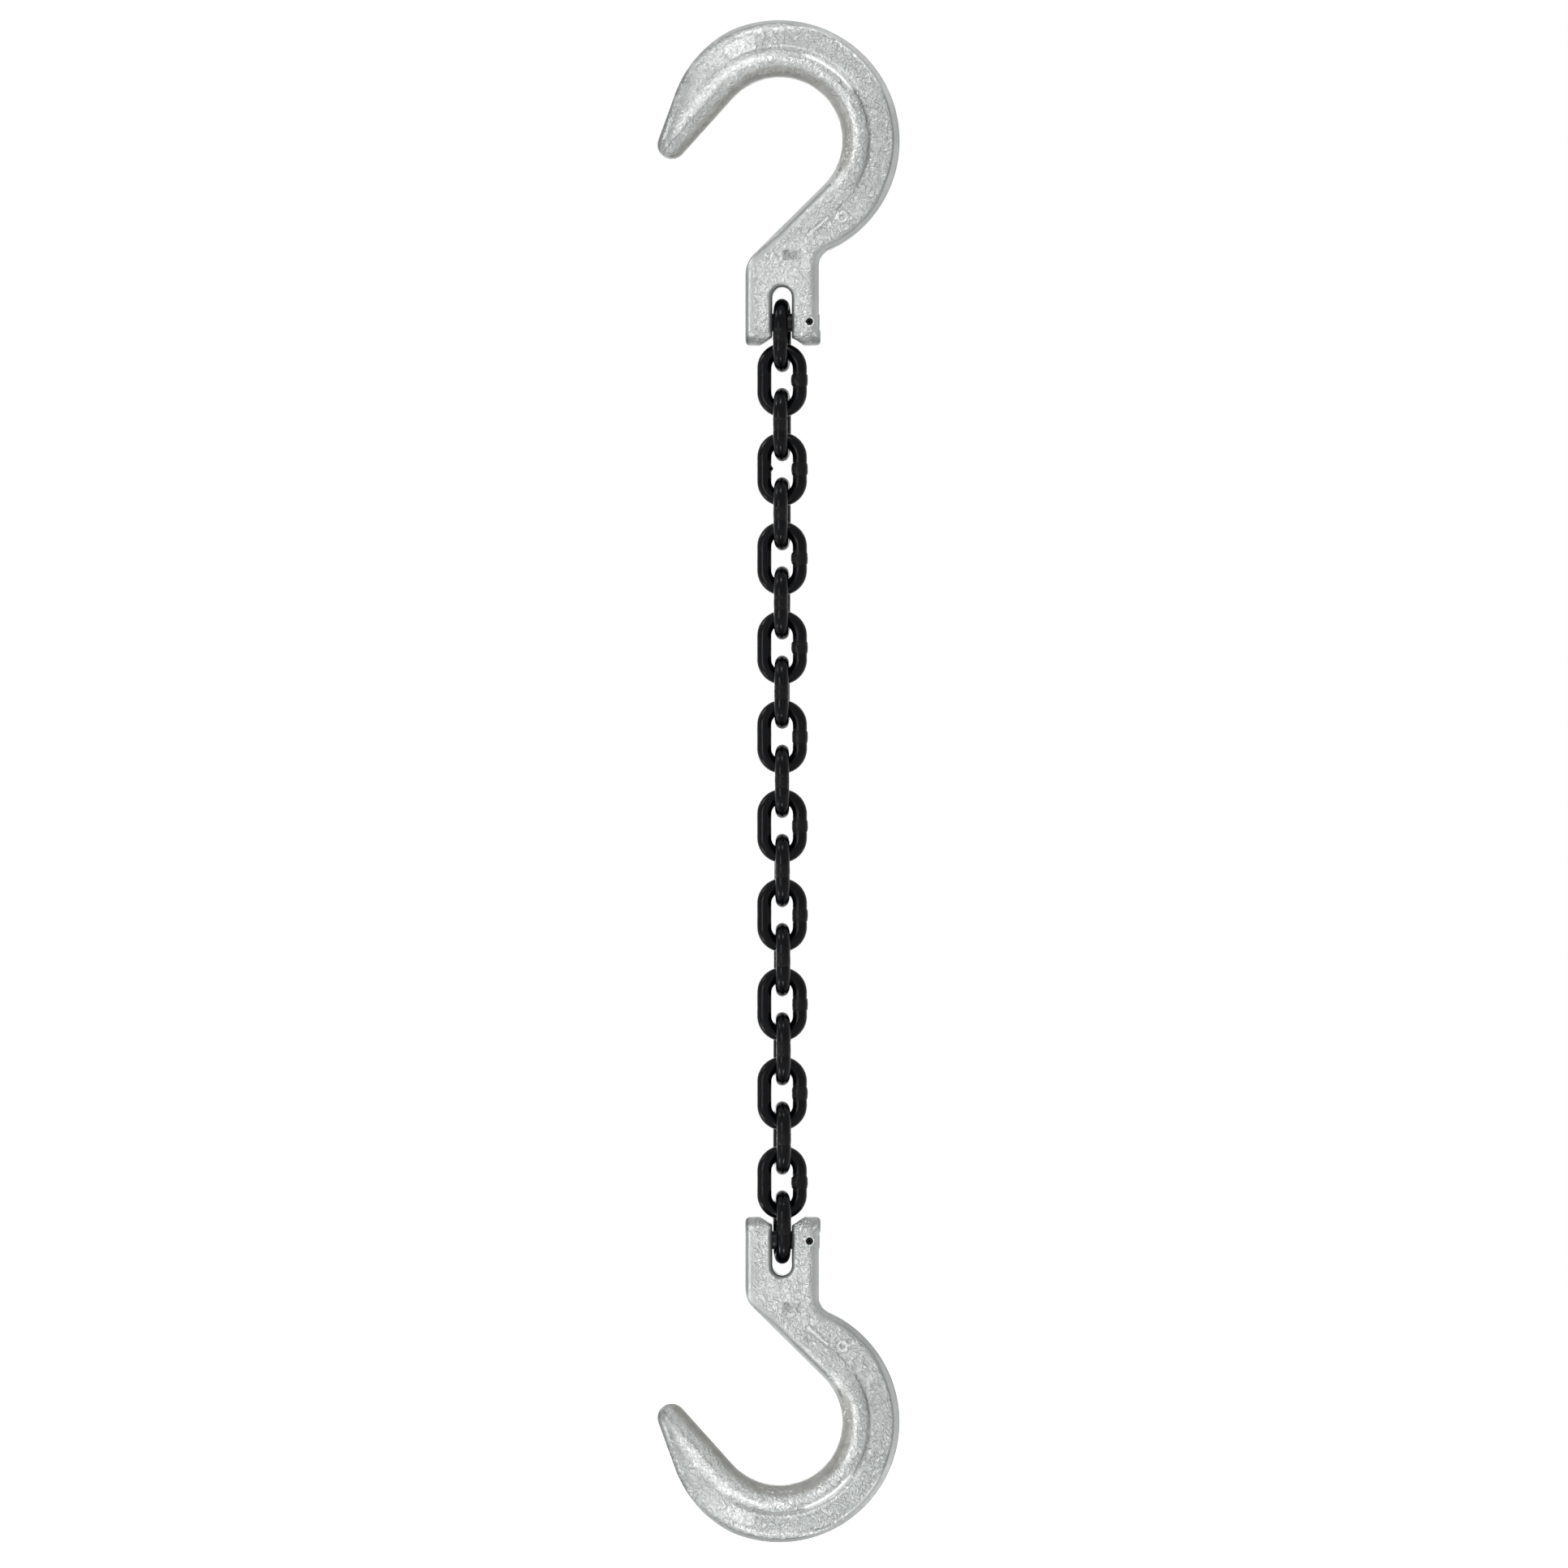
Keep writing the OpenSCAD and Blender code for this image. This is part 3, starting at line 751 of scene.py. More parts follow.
# Painted light on the neck and on the clevis, away from their edges, and a light line down the neck
NECK_LIGHT_ANGLES = (-40, 15)
NECK_LIGHT_INSETS = (13, 32, 4)
NECK_LINE_ANGLES = (-36, 8)
NECK_LINE_INSETS = (18.4, 2.0)
CLEVIS_LIGHT_INSETS = (7, 4)
CLEVIS_LIGHT_DEPTHS = (6, 3)
# The painted shade on the slot's bevels is wider on the left, the lock pin's hole has a ring of painted
# highlight, and the ears are darker at their ends
CLEVIS_Z = -75
BEVEL_LEFT_W = 2.4
BEVEL_RIGHT_W = 1.7
BEVEL_EDGE = 0.6
HOLE_RING = (0.3, 0.8)
NOSE = (-9.5, 4)


def neck_marks(p):
    edge_at = blend(EDGE_LINE_INSETS, p.clevis)
    edge_w = blend(EDGE_LINE_WIDTHS, p.clevis)
    neck = (1 - p.clevis) * p.face
    clevis = p.clevis * p.face
    from_slot_top = np.hypot(p.x - CHAIN_X, p.z - SLOT_MID_Z)
    from_slot = np.where(p.z > SLOT_MID_Z, from_slot_top, np.abs(p.x - CHAIN_X)) - SLOT_R
    bevel_w = np.where(p.x < CHAIN_X, BEVEL_LEFT_W, BEVEL_RIGHT_W)
    from_hole = np.hypot(p.x - LOCK_PIN_X, p.z - PIN_Z) - LOCK_HOLE_R
    return {
        "edge": fall(p.inset, *EDGE_INSETS) * fall(p.angle, *EDGE_ANGLES),
        "edge_line": band(p.inset, edge_at, edge_w) * fall(p.angle, *EDGE_LINE_ANGLES),
        "neck_light": fall(p.angle, *NECK_LIGHT_ANGLES) * between(p.inset, *NECK_LIGHT_INSETS) * neck,
        "neck_line": fall(p.angle, *NECK_LINE_ANGLES) * band(p.inset, *NECK_LINE_INSETS) * neck,
        "clevis_light": clevis * rise(p.inset, *CLEVIS_LIGHT_INSETS) * rise(p.depth, *CLEVIS_LIGHT_DEPTHS),
        "bevel": (p.z < CLEVIS_Z) * fall(from_slot, bevel_w, BEVEL_EDGE),
        "hole_ring": band(from_hole, *HOLE_RING) * p.face,
        "nose": fall(p.z - PIN_Z, *NOSE),
    }


# The tip falls away behind its crest. Its back has painted shade, most of all by its outline and towards its
# end.
TIP_FALL_INSET = 14.5
TIP_FALL_W = 16.0
TIP_SIDE_DEPTHS = (6.0, 7.5)
TIP_BACK_INSETS = (29, 4)
TIP_WALL_INSETS = (10, 6)
TIP_WALL_ALONG = (22, 10)
TIP_WALL_SHADES = (0.45, 0.8)
TIP_END_ALONG = (34, 12)
TIP_END_BACK_ALONG = (36, 8)
TIP_END_BACK_INSETS = (12, 4)


def tip_marks(p):
    back_u = np.array([tip_back(min(max(s, 0), END_S)) for s in p.s])
    from_tip_back = np.where(p.on_tip, back_u - p.u, FAR_AWAY)
    fallen = np.clip(p.inset - TIP_FALL_INSET, 0, TIP_FALL_W) / TIP_FALL_W
    wall = p.on_tip * p.past_root * (1 - p.face) * rise(p.inset, *TIP_WALL_INSETS)
    return {
        "towards_tip": p.towards_tip,
        "tip_fall": p.on_tip * p.past_root * fallen**2 * p.face,
        "tip_side": p.past_root * fall(from_tip_back, *TIP_SIDE_DEPTHS),
        "tip_back": p.towards_tip * rise(p.inset, *TIP_BACK_INSETS),
        "tip_wall": blend(TIP_WALL_SHADES, rise(p.s, *TIP_WALL_ALONG)) * wall,
        "tip_end": p.on_tip * rise(p.s, *TIP_END_ALONG),
        "tip_end_back": p.on_tip * rise(p.s, *TIP_END_BACK_ALONG) * rise(p.inset, *TIP_END_BACK_INSETS),
    }


# Small marks on the broad faces, in the XZ plane about the bowl's centre, with their soft edges
PAD_ANGLES = (104, 121)
PAD_RADII = (65.0, 74.0)
PAD_SOFT = (1, 0.9)
PAD_EDGE_SOFT = (2, 1.9)
SCRIBE = ((20.1, -65.6), (33.0, -54.4))
SCRIBE_BAND = (0.0, 0.9)
SCRIBE_SIDES = (1.8, 0.8)
EJECTOR = (43.6, -52.8)
EJECTOR_BAND = (3.0, 1.1)
EJECTOR_HOLLOW = (1.2, 1.0)
EJECTOR_OUTSIDE = (4.9, 0.9)
EJECTOR_TAIL = ((46.6, -53.2), (49.7, -53.9))
RECESS = (9.0, -79.6)
RECESS_SIZE = (5.6, 2.8)
RECESS_SOFT = 1.2
RECESS_LEFT = (-4, 4)
RECESS_SHADES = (0.34, 0.56)
PITS = ((76.2, -15.8), (56.5, -53.3))
PIT_BAND = (0.0, 1.1)


def small_marks(p):
    """A plain pad, a scribed line, the ring of an ejector with its tail, a shallow recess and two pits."""
    # Painted highlights on the pad, the scribed line and the ring; painted shade beside them, in the recess
    # and in the pits
    pad = between(p.angle, *PAD_ANGLES, PAD_SOFT[0]) * between(p.r, *PAD_RADII, PAD_SOFT[1])
    pad_wide = between(p.angle, *PAD_ANGLES, PAD_EDGE_SOFT[0]) * between(p.r, *PAD_RADII, PAD_EDGE_SOFT[1])
    from_scribe = near_line(p.flat, *SCRIBE)
    from_ejector = np.linalg.norm(p.flat - EJECTOR, axis=1)
    tail = band(near_line(p.flat, *EJECTOR_TAIL), *SCRIBE_BAND)
    recess = p.face
    for value, middle, half in zip((p.x, p.z), RECESS, RECESS_SIZE):
        recess = recess * between(value, middle - half, middle + half, RECESS_SOFT)
    return {
        "pad": pad * p.face,
        "pad_edge": (pad_wide - pad) * p.face,
        "scribe": band(from_scribe, *SCRIBE_BAND) * p.face,
        "scribe_sides": band(from_scribe, *SCRIBE_SIDES) * p.face,
        "ejector": np.maximum(band(from_ejector, *EJECTOR_BAND), tail) * p.face,
        "ejector_hollow": fall(from_ejector, *EJECTOR_HOLLOW) * p.face,
        "ejector_outside": band(from_ejector, *EJECTOR_OUTSIDE) * p.face,
        "recess": recess,
        "recess_shade": blend(RECESS_SHADES, fall(p.x - RECESS[0], *RECESS_LEFT)) * recess,
        "pits": sum(band(np.linalg.norm(p.flat - pit, axis=1), *PIT_BAND) for pit in PITS) * p.face,
    }


def dress(points, normals, seed):
    """The surface beyond the plain shape: its height, flank, painted light, painted shade and smoothness."""
    p = Skin(points, normals)
    wander = noise_at(points, WANDER_SIZE, seed + 3)
    marks = bead_marks(p, wander)
    for more in (groove_marks, rim_marks, neck_marks, tip_marks, small_marks):
        marks.update(more(p))
    # Painted shade on the sides, where the surface turns away from the broad faces, but not on the flank
    marks["side"] = p.side * (1 - marks["flank"])
    smooth_skin = np.clip(weighted(marks, SMOOTHNESS), 0, 1)
    smooth_skin = np.maximum(smooth_skin, weighted(marks, TIP_SMOOTHNESS))
    lumps = noise_at(points, LUMP_SIZE, seed, 2)
    grain = noise_at(points, GRAIN_SIZE, seed + 1, 2)
    height = weighted(marks, RELIEF)
    height += (1 - SMOOTHED * smooth_skin) * (LUMP_HEIGHT * lumps + GRAIN_HEIGHT * grain)
    return height, marks["flank"], weighted(marks, LIGHT), weighted(marks, SHADE), smooth_skin


def paint_marks(mesh, **marks):
    """Keeps shares from 0 to 1, one for each point, on the mesh for its material."""
    for name, shares in marks.items():
        attribute = mesh.attributes.new(name, "FLOAT", "POINT")
        attribute.data.foreach_set("value", np.clip(shares, 0, 1).astype(np.float32))


def keep_inside(points, node):
    """Points in millimetres, moved inside the box of a CAD node."""
    lo, hi = (np.array(corner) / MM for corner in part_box(node))
    return np.clip(points, lo, hi)


def make_hook(node, body, bare, seed, upside_down):
    """One hook: the bare forging, turned over for the lower end, with a worked surface."""
    mesh = bare.copy()
    own = points_of(mesh)
    normals = normals_of(mesh)
    height, flank, bright, dark, smooth_skin = dress(own, normals, seed)
    own = own + normals * height[:, None]
    if upside_down:
        own = own * [1, -1, -1] + [0, 0, BOTTOM_Z]
    move_points(mesh, keep_inside(own, node))
    # Kept for the material: the flank, the painted light, the painted shade and the smooth skin
    paint_marks(mesh, flank=flank, bright=bright, dark=dark, smooth_skin=smooth_skin)
    hook = add_object(node + "_forging", mesh)
    hook.data.materials.append(hook_paint)
    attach(hook, body)
    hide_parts(node)
    return hook


# The chain


RINGS_PER_LINK = 176
POINTS_PER_RING = 52
# How far a link's weld stands in, as a share of the most that it does; the photograph shows the even ones
WELD_SHARES = {2: 1.0, 4: 0.75, 6: 1.0, 8: 0.8, 10: 0.35, 12: 0.4, 14: 0.3, 16: 0.3, 18: 0.4, 20: 0.9}
ODD_WELD_SHARE = 0.7
# The soft ends of the weld, the crease beside it, the lumps all over and the grit on the weld
WELD_SOFT = 1.2
CREASE_OUT = 0.1
CREASE_HALF_W = 0.8
CREASE_DEPTH = 0.132
LINK_LUMP_SIZE = 5.0
LINK_LUMP_HEIGHT = 0.05
LINK_LUMP_SEED = 40
GRIT_SIZE = 1.8
GRIT_HEIGHT = 0.14
GRIT_SEED = 80
# One link has a burr on the inside of its weld
BURR_LINK = 4
BURR_Z = 0.5
BURR_R = 2.4
BURR_HEIGHT = 1.3


def link_path(n):
    """The wire round a link, in its plane: centres, ways outward, and how far along the weld each is."""
    half = LEG_L + math.pi * CROWN_R
    centres, outward, along = [], [], []
    for s in np.arange(n) * 2 * half / n:
        side = 1 if s < half else -1
        on_half = s if s < half else s - half
        a = max(on_half - LEG_L, 0) / CROWN_R
        out = np.array([math.cos(a), math.sin(a)])
        centres.append(side * (CROWN_R * out + [0, min(on_half, LEG_L) - LEG_L / 2]))
        outward.append(side * out)
        along.append(s - LEG_L / 2 if s < LEG_L else FAR_AWAY)
    return np.array(centres), np.array(outward), np.array(along)


def link_points(i):
    """A link's points about its own centre, in millimetres, with how rough each one is."""
    centres, outward, along = link_path(RINGS_PER_LINK)
    theta = np.arange(POINTS_PER_RING) * 2 * math.pi / POINTS_PER_RING
    c, s = np.cos(theta)[None, :], np.sin(theta)[None, :]
    swell = np.sqrt(np.clip(1 - (along / (WELD_L / 2)) ** 2, 0, 1))[:, None]
    share = WELD_SHARES.get(i, ODD_WELD_SHARE)

    def lobe(reach, sign):
        radius = WIRE_R - reach + reach * swell
        return sign * reach * c + np.sqrt(radius**2 - (reach * s) ** 2)

    radius = np.maximum(WIRE_R, np.maximum(lobe(WELD_IN * share, -1), lobe(WELD_OUT, 1)))
    radius = np.where(swell > 0, radius, WIRE_R)
    x = centres[:, :1] + outward[:, :1] * c * radius
    y = s * radius
    z = centres[:, 1:] + outward[:, 1:] * c * radius
    points = np.stack([x, y + 0 * x, z], axis=-1).reshape(-1, 3)
    out = np.stack([outward[:, :1] * c, s + 0 * x, outward[:, 1:] * c], axis=-1).reshape(-1, 3)
    weld = np.repeat(fall(np.abs(along), WELD_L / 2, WELD_SOFT), POINTS_PER_RING)
    crease = np.repeat(band(np.abs(along), WELD_L / 2 + CREASE_OUT, CREASE_HALF_W), POINTS_PER_RING)
    lumps = noise_at(points, LINK_LUMP_SIZE, LINK_LUMP_SEED + i, 2)
    grit = noise_at(points, GRIT_SIZE, GRIT_SEED + i, 2)
    height = LINK_LUMP_HEIGHT * (lumps - 1) + GRIT_HEIGHT * weld * grit - CREASE_DEPTH * crease * (1 + lumps)
    if i == BURR_LINK:
        from_burr = np.linalg.norm(points - [-CROWN_R + WIRE_R, 0, BURR_Z], axis=1)
        height += BURR_HEIGHT * fall(from_burr, 0, BURR_R)
    return points + out * height[:, None], weld, crease


def make_link(i, faces):
    """A link, turned about the chain's length as the hinge below it is."""
    node = f"link_{i:02d}"
    points, weld, crease = link_points(i)
    lo, hi = (np.array(corner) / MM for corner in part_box(node))
    below = joints[f"link_{i + 1:02d}_swing"] if i < LINK_COUNT else joints[node + "_swing"]
    axis = np.array(below["axis"][:2])
    angle = math.atan2(axis[1], axis[0])
    if i == LINK_COUNT:
        angle += math.pi / 2
    # The hinge below lies along the link's own plane, so either end of it may be the welded side
    welded_side = np.array([0, -1]) if i % 2 else np.array([1, 0])
    if np.array([math.cos(angle), math.sin(angle)]) @ welded_side < 0:
        angle += math.pi
    x, y, z = points.T
    cos, sin = math.cos(angle), math.sin(angle)
    placed = np.c_[x * cos - y * sin, x * sin + y * cos, z] + [CHAIN_X, 0, (lo[2] + hi[2]) / 2]
    mesh = mesh_of(node + "_round", keep_inside(placed, node), faces)
    paint_marks(mesh, weld=weld, crease=crease)
    link = add_object(node + "_round", mesh)
    link.data.materials.append(chain_black)
    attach(link, node)
    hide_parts(node)


def make_lock_pin(end):
    """A coiled pin as the frame has it, with the skin of paint that closes its bore."""
    node = end + "_lock_pin"
    lo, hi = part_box(node)
    middle = (Vector(lo) + Vector(hi)) / 2
    part = bmesh.new()
    part.from_mesh(frame["nodes"][node].data)
    skin = bmesh.ops.create_circle(part, cap_ends=True, segments=PAINT_SKIN_POINTS, radius=PAINT_SKIN_R * MM)
    bmesh.ops.rotate(part, verts=skin["verts"], matrix=Matrix.Rotation(math.radians(90), 3, "X"))
    bmesh.ops.translate(part, verts=skin["verts"], vec=middle)
    mesh = bpy.data.meshes.new(node + "_painted")
    part.to_mesh(mesh)
    part.free()
    mesh.materials.clear()
    pin = add_object(node + "_painted", mesh, False)
    mesh.materials.append(lock_pin_steel)
    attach(pin, end + "_hook")
    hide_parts(node)


# Materials


class Nodes:
    """A material's node tree, with short ways to add to it."""

    def __init__(self, name):
        self.material = bpy.data.materials.new(name)
        self.material.use_nodes = True
        self.tree = self.material.node_tree
        self.shader = self.tree.nodes["Principled BSDF"]

    def add(self, kind, **settings):
        node = self.tree.nodes.new(kind)
        for key, value in settings.items():
            setattr(node, key, value)
        return node

    def link(self, a, b):
        self.tree.links.new(a, b)

    def noise(self, scale, detail=3.0, roughness=0.55, stretch=None, kind="FBM", distortion=0.0):
        coords = self.add("ShaderNodeTexCoord")
        out = coords.outputs["Object"]
        if stretch:
            mapping = self.add("ShaderNodeMapping")
            mapping.inputs["Scale"].default_value = stretch
            self.link(out, mapping.inputs["Vector"])
            out = mapping.outputs["Vector"]
        tex = self.add("ShaderNodeTexNoise", noise_type=kind)
        tex.inputs["Scale"].default_value = scale
        tex.inputs["Detail"].default_value = detail
        tex.inputs["Roughness"].default_value = roughness
        tex.inputs["Distortion"].default_value = distortion
        self.link(out, tex.inputs["Vector"])
        return tex.outputs["Fac"]

    def mark(self, name):
        return self.add("ShaderNodeAttribute", attribute_name=name).outputs["Fac"]

    def ramp(self, value, places, tones):
        node = self.add("ShaderNodeValToRGB")
        for element, place, tone in zip(node.color_ramp.elements, places, tones):
            element.position = place
            element.color = (*tone, 1)
        self.link(value, node.inputs["Fac"])
        return node.outputs["Color"]

    def range(self, value, ends, to):
        node = self.add("ShaderNodeMapRange")
        for key, number in zip(("From Min", "From Max", "To Min", "To Max"), (*ends, *to)):
            node.inputs[key].default_value = number
        self.link(value, node.inputs["Value"])
        return node.outputs["Result"]

    def maths(self, operation, a, b):
        node = self.add("ShaderNodeMath", operation=operation)
        for socket, value in zip(node.inputs, (a, b)):
            if isinstance(value, (int, float)):
                socket.default_value = value
            else:
                self.link(value, socket)
        return node.outputs["Value"]

    def mix(self, fac, a, b):
        node = self.add("ShaderNodeMix", data_type="RGBA")
        sockets = {s.identifier: s for s in node.inputs}
        for key, value in (("Factor_Float", fac), ("A_Color", a), ("B_Color", b)):
            if isinstance(value, tuple):
                sockets[key].default_value = (*value, 1)
            else:
                self.link(value, sockets[key])
        return next(s for s in node.outputs if s.identifier == "Result_Color")

    def bump(self, height, distance, strength, under=None):
        node = self.add("ShaderNodeBump")
        node.inputs["Distance"].default_value = distance * MM
        if isinstance(strength, float):
            node.inputs["Strength"].default_value = strength
        else:
            self.link(strength, node.inputs["Strength"])
        self.link(height, node.inputs["Height"])
        if under is not None:
            self.link(under, node.inputs["Normal"])
        return node.outputs["Normal"]


# The hooks' paint: two tones each of silver and of the flank's darker grey, the painted shade in the grain's
# hollows and the painted highlight on its ridges, and the tones of painted light and painted shade
SILVER = ((0.405, 0.425, 0.42), (0.475, 0.495, 0.49))
FLANK_GREYS = ((0.29, 0.29, 0.275), (0.36, 0.36, 0.34))
HOLLOW_SHADE = (0.22, 0.235, 0.235)
RIDGE_HIGHLIGHT = (0.80, 0.82, 0.81)
LIT = (0.98, 0.99, 0.98)
SHADED = (0.10, 0.105, 0.105)
# The chain's paint: two tones of black, and the tones of its scuffs, its welds and the creases beside them
BLACK = ((0.0008, 0.0008, 0.001), (0.0015, 0.002, 0.004))
SCUFFED = (0.011, 0.012, 0.015)
WELDED = (0.009, 0.009, 0.009)
CREASED = (0.002, 0.002, 0.002)
PAPER = (0.85, 0.85, 0.85, 1)
WHITE = (1, 1, 1, 1)


def make_hook_paint():
    """Silver paint over a pitted forging, smoother and greyer on its flank and smoother where struck smooth,
    with painted shade in its hollows, painted highlights on its ridges and the marks' painted light and
    shade.
    """
    n = Nodes("hook_paint")
    flank, bright, dark, smooth_skin = (n.mark(name) for name in ("flank", "bright", "dark", "smooth_skin"))
    rough_skin = n.maths("SUBTRACT", 1.0, n.maths("MULTIPLY", smooth_skin, 0.9))
    clouds = n.noise(scale=60)
    grain = n.noise(scale=380, detail=2, roughness=0.5, distortion=0.9)
    wrinkles = n.noise(scale=240, detail=1, roughness=0.5, kind="RIDGED_MULTIFRACTAL")
    silver = n.ramp(clouds, (0.3, 0.7), SILVER)
    # Painted shade in the grain's hollows and painted highlights on its ridges, less where the skin is
    # smooth
    hollow_shade = n.maths("MULTIPLY", n.range(grain, (0.46, 0.28), (0, 0.2)), rough_skin)
    silver = n.mix(hollow_shade, silver, HOLLOW_SHADE)
    ridge_highlight = n.maths("MULTIPLY", n.range(grain, (0.56, 0.70), (0, 0.5)), rough_skin)
    silver = n.mix(ridge_highlight, silver, RIDGE_HIGHLIGHT)
    # Painted light from the marks
    lit = n.maths("MULTIPLY", bright, n.range(grain, (0.4, 0.6), (0.75, 1.1)))
    silver = n.mix(lit, silver, LIT)
    streaks = n.range(n.noise(scale=160), (0.35, 0.65), (0, 1))
    colour = n.mix(flank, silver, n.mix(streaks, *FLANK_GREYS))
    # Painted shade from the marks
    colour = n.mix(n.maths("MULTIPLY", dark, 0.85), colour, SHADED)
    n.link(colour, n.shader.inputs["Base Color"])
    n.shader.inputs["Metallic"].default_value = 0.5
    n.link(n.range(grain, (0.3, 0.7), (0.38, 0.28)), n.shader.inputs["Roughness"])
    relief = n.maths("ADD", grain, n.maths("MULTIPLY", wrinkles, 0.3))
    pits = n.bump(relief, distance=2.6, strength=rough_skin)
    fine = n.bump(n.noise(scale=1700, detail=2), distance=0.08, strength=0.6, under=pits)
    n.link(fine, n.shader.inputs["Normal"])
    return n.material


def make_chain_black():
    """Semi-gloss black paint, rougher and duller over the welds."""
    n = Nodes("chain_black")
    weld, crease = n.mark("weld"), n.mark("crease")
    clouds = n.noise(scale=130)
    black = n.ramp(clouds, (0.3, 0.75), BLACK)
    worn = n.noise(scale=300, detail=4, roughness=0.7, stretch=(1, 1, 0.35))
    black = n.mix(n.range(worn, (0.56, 0.72), (0, 0.6)), black, SCUFFED)
    black = n.mix(n.maths("MULTIPLY", weld, 0.6), black, WELDED)
    black = n.mix(n.maths("MULTIPLY", crease, 0.7), black, CREASED)
    n.link(black, n.shader.inputs["Base Color"])
    n.shader.inputs["Specular IOR Level"].default_value = 0.1
    roughness = n.range(clouds, (0.3, 0.7), (0.16, 0.27))
    roughness = n.maths("ADD", roughness, n.maths("MULTIPLY", weld, 0.12))
    n.link(roughness, n.shader.inputs["Roughness"])
    soft = n.bump(n.noise(scale=150), distance=0.22, strength=0.5)
    fine = n.bump(n.noise(scale=1500, detail=2), distance=0.01, strength=0.3, under=soft)
    n.link(fine, n.shader.inputs["Normal"])
    return n.material


def make_pin_steel(name, tones, roughness):
    """Dark, dull steel with faint rings from turning. Its tones and its roughness are pairs."""
    n = Nodes(name)
    clouds = n.noise(scale=200)
    n.link(n.ramp(clouds, (0.3, 0.7), tones), n.shader.inputs["Base Color"])
    n.shader.inputs["Metallic"].default_value = 0.8
    n.link(n.range(clouds, (0.3, 0.7), roughness), n.shader.inputs["Roughness"])
    rings = n.noise(scale=700, detail=2, roughness=0.5, stretch=(3, 0.4, 0.4))
    n.link(n.bump(rings, distance=0.05, strength=0.4), n.shader.inputs["Normal"])
    return n.material


def background_rays(tree):
    """1 for the rays that show the background, seen straight, mirrored or through glass."""
    path = tree.nodes.new("ShaderNodeLightPath")
    shown = path.outputs["Is Camera Ray"]
    for name in ("Is Glossy Ray", "Is Transmission Ray"):
        both = tree.nodes.new("ShaderNodeMath")
        both.operation = "MAXIMUM"
        tree.links.new(shown, both.inputs[0])
        tree.links.new(path.outputs[name], both.inputs[1])
        shown = both.outputs[0]
    return shown


def make_floor_paper():
    """White paper. Away from the object it glows for what shows the background, to run into the white."""
    n = Nodes("floor_paper")
    n.shader.inputs["Base Color"].default_value = PAPER
    n.shader.inputs["Roughness"].default_value = 0.9
    n.shader.inputs["Specular IOR Level"].default_value = 0.0
    coords = n.add("ShaderNodeTexCoord")
    length = n.add("ShaderNodeVectorMath", operation="LENGTH")
    n.link(coords.outputs["Object"], length.inputs[0])
    away = n.range(length.outputs["Value"], FLOOR_GLOW_FROM, FLOOR_GLOW)
    n.shader.inputs["Emission Color"].default_value = WHITE
    n.link(n.maths("MULTIPLY", away, background_rays(n.tree)), n.shader.inputs["Emission Strength"])
    return n.material


# Camera, stage and light

IMAGE_CENTRE = (3.35, -443.0)
IMAGE_SPAN = 1080.0
LENS = 200.0
SENSOR = 36.0
FLOOR_Z = -3200.0
FLOOR_HALF = 40000.0
# Distances from the middle of the floor, in metres, between which it changes from paper to plain white, and
# how strongly it glows there
FLOOR_GLOW_FROM = (0.8, 3.0)
FLOOR_GLOW = (0.12, 1.0)
WORLD_LIGHT = 0.35
# Softboxes: name, place and what it points at in metres, side, spread of its light in degrees, and power
SOFTBOXES = (
    ("upper_front", (0, -1.67, 1.99), (0, 0, 0), 0.8, 30, 1.08),
    ("upper_side", (-2.2, -0.4, 1.3), (0, 0, 0), 0.8, 30, 0.87),
    ("upper_left", (-1.43, -2.12, -0.45), (0, 0, 0), 0.8, 30, 0.45),
    ("lower_front", (0, -1.67, -2.87), (0, 0, -0.882), 0.8, 30, 1.08),
    ("lower_side", (-2.2, -0.4, -2.18), (0, 0, -0.882), 0.8, 30, 0.87),
    ("lower_left", (-1.43, -2.12, -0.43), (0, 0, -0.882), 0.8, 30, 0.45),
    ("left_fill", (-2.2, -3.2, -0.443), (0, 0, -0.443), 2.2, 180, 10),
    ("side_fill", (3.0, 0.8, -0.443), (0, 0, -0.443), 2.2, 180, 4),
    ("back_fill", (-0.6, 3.6, -0.443), (0, 0, -0.443), 2.2, 180, 26),
)


def make_camera():
    data = bpy.data.cameras.new("camera")
    data.lens = LENS
    data.sensor_width = SENSOR
    data.clip_end = 100.0
    camera = bpy.data.objects.new("camera", data)
    bpy.context.scene.collection.objects.link(camera)
    distance = IMAGE_SPAN / 2 * LENS / (SENSOR / 2)
    camera.location = Vector((IMAGE_CENTRE[0], -distance, IMAGE_CENTRE[1])) * MM
    camera.rotation_euler = (math.radians(90), 0, 0)
    bpy.context.scene.camera = camera


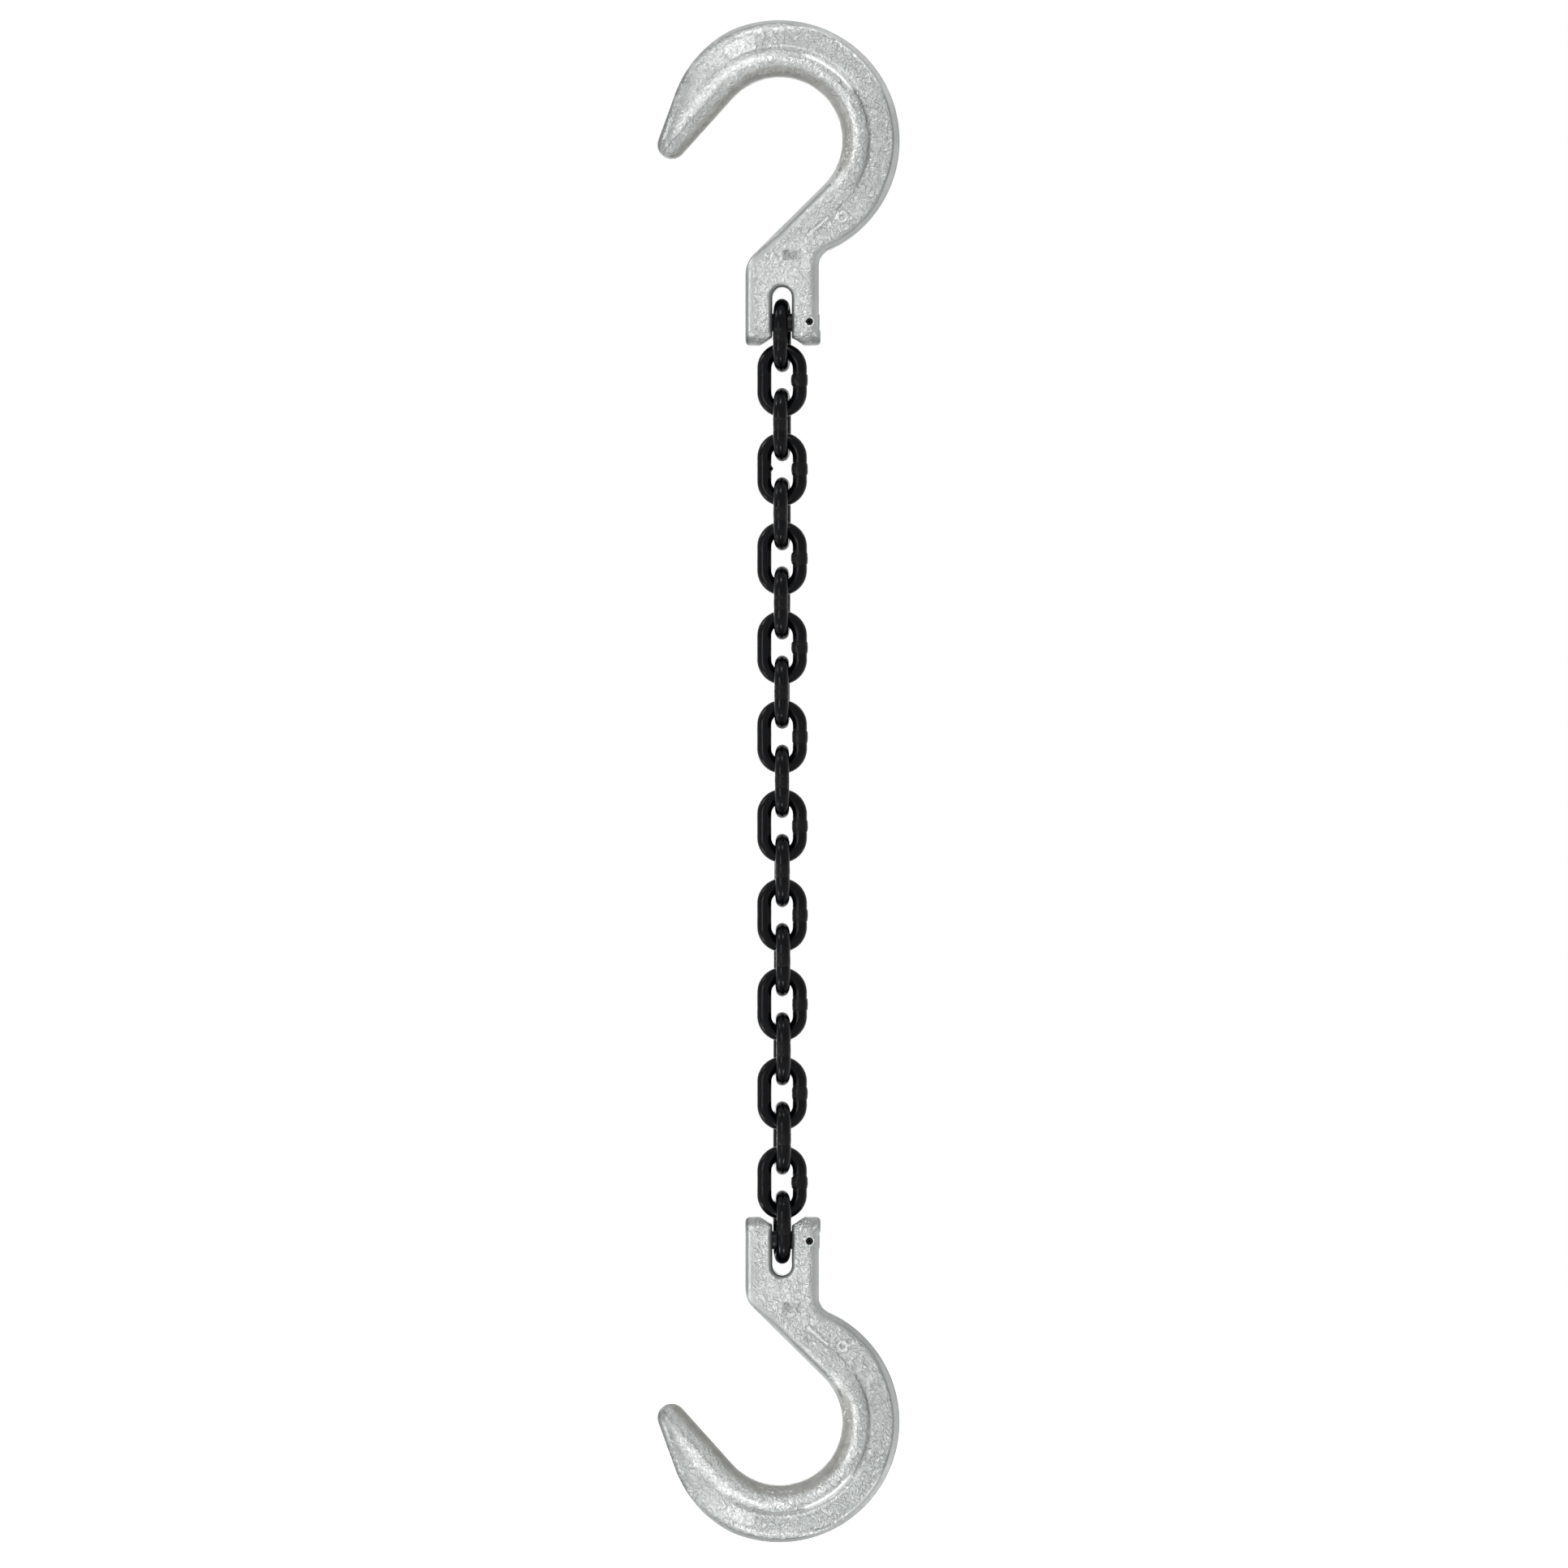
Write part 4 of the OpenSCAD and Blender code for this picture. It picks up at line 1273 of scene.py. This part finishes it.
def make_floor():
    half = FLOOR_HALF
    corners = [(-half, -half, 0), (half, -half, 0), (half, half, 0), (-half, half, 0)]
    floor = add_object("floor", mesh_of("floor", corners, [(0, 1, 2, 3)]), False)
    floor.location.z = FLOOR_Z * MM
    floor.data.materials.append(make_floor_paper())


def make_world():
    """White to what shows the background, and plain soft light to everything else."""
    world = bpy.data.worlds.new("studio")
    bpy.context.scene.world = world
    world.use_nodes = True
    tree = world.node_tree
    background = tree.nodes["Background"]
    background.inputs["Color"].default_value = WHITE
    strength = tree.nodes.new("ShaderNodeMapRange")
    strength.inputs["To Min"].default_value = WORLD_LIGHT
    strength.inputs["To Max"].default_value = 1.0
    tree.links.new(background_rays(tree), strength.inputs["Value"])
    tree.links.new(strength.outputs["Result"], background.inputs["Strength"])


def make_lights():
    for name, place, target, side, spread, power in SOFTBOXES:
        data = bpy.data.lights.new(name, "AREA")
        data.size = side
        data.spread = math.radians(spread)
        data.energy = power
        lamp = bpy.data.objects.new(name, data)
        bpy.context.scene.collection.objects.link(lamp)
        lamp.location = place
        lamp.rotation_euler = (Vector(target) - lamp.location).to_track_quat("-Z", "Y").to_euler()


# Making it all

hook_paint = make_hook_paint()
chain_black = make_chain_black()
load_pin_steel = make_pin_steel("load_pin_steel", ((0.012, 0.012, 0.013), (0.03, 0.03, 0.032)), (0.39, 0.53))
lock_pin_steel = make_pin_steel("lock_pin_steel", ((0.004, 0.004, 0.004), (0.01, 0.01, 0.011)), (0.54, 0.68))

bare_forging = forging()
make_hook("top_hook", "top_hook", bare_forging, 1, False)
make_hook("bottom_hook", "bottom_hook", bare_forging, 2, True)
bpy.data.meshes.remove(bare_forging)

link_faces = grid_faces(RINGS_PER_LINK, POINTS_PER_RING, True)
for number in range(1, LINK_COUNT + 1):
    make_link(number, link_faces)

for end in ("top", "bottom"):
    data = frame["nodes"][end + "_load_pin"].data
    data.materials.clear()
    data.materials.append(load_pin_steel)
    make_lock_pin(end)

make_camera()
make_floor()
make_world()
make_lights()

bpy.context.scene.view_settings.view_transform = "Standard"
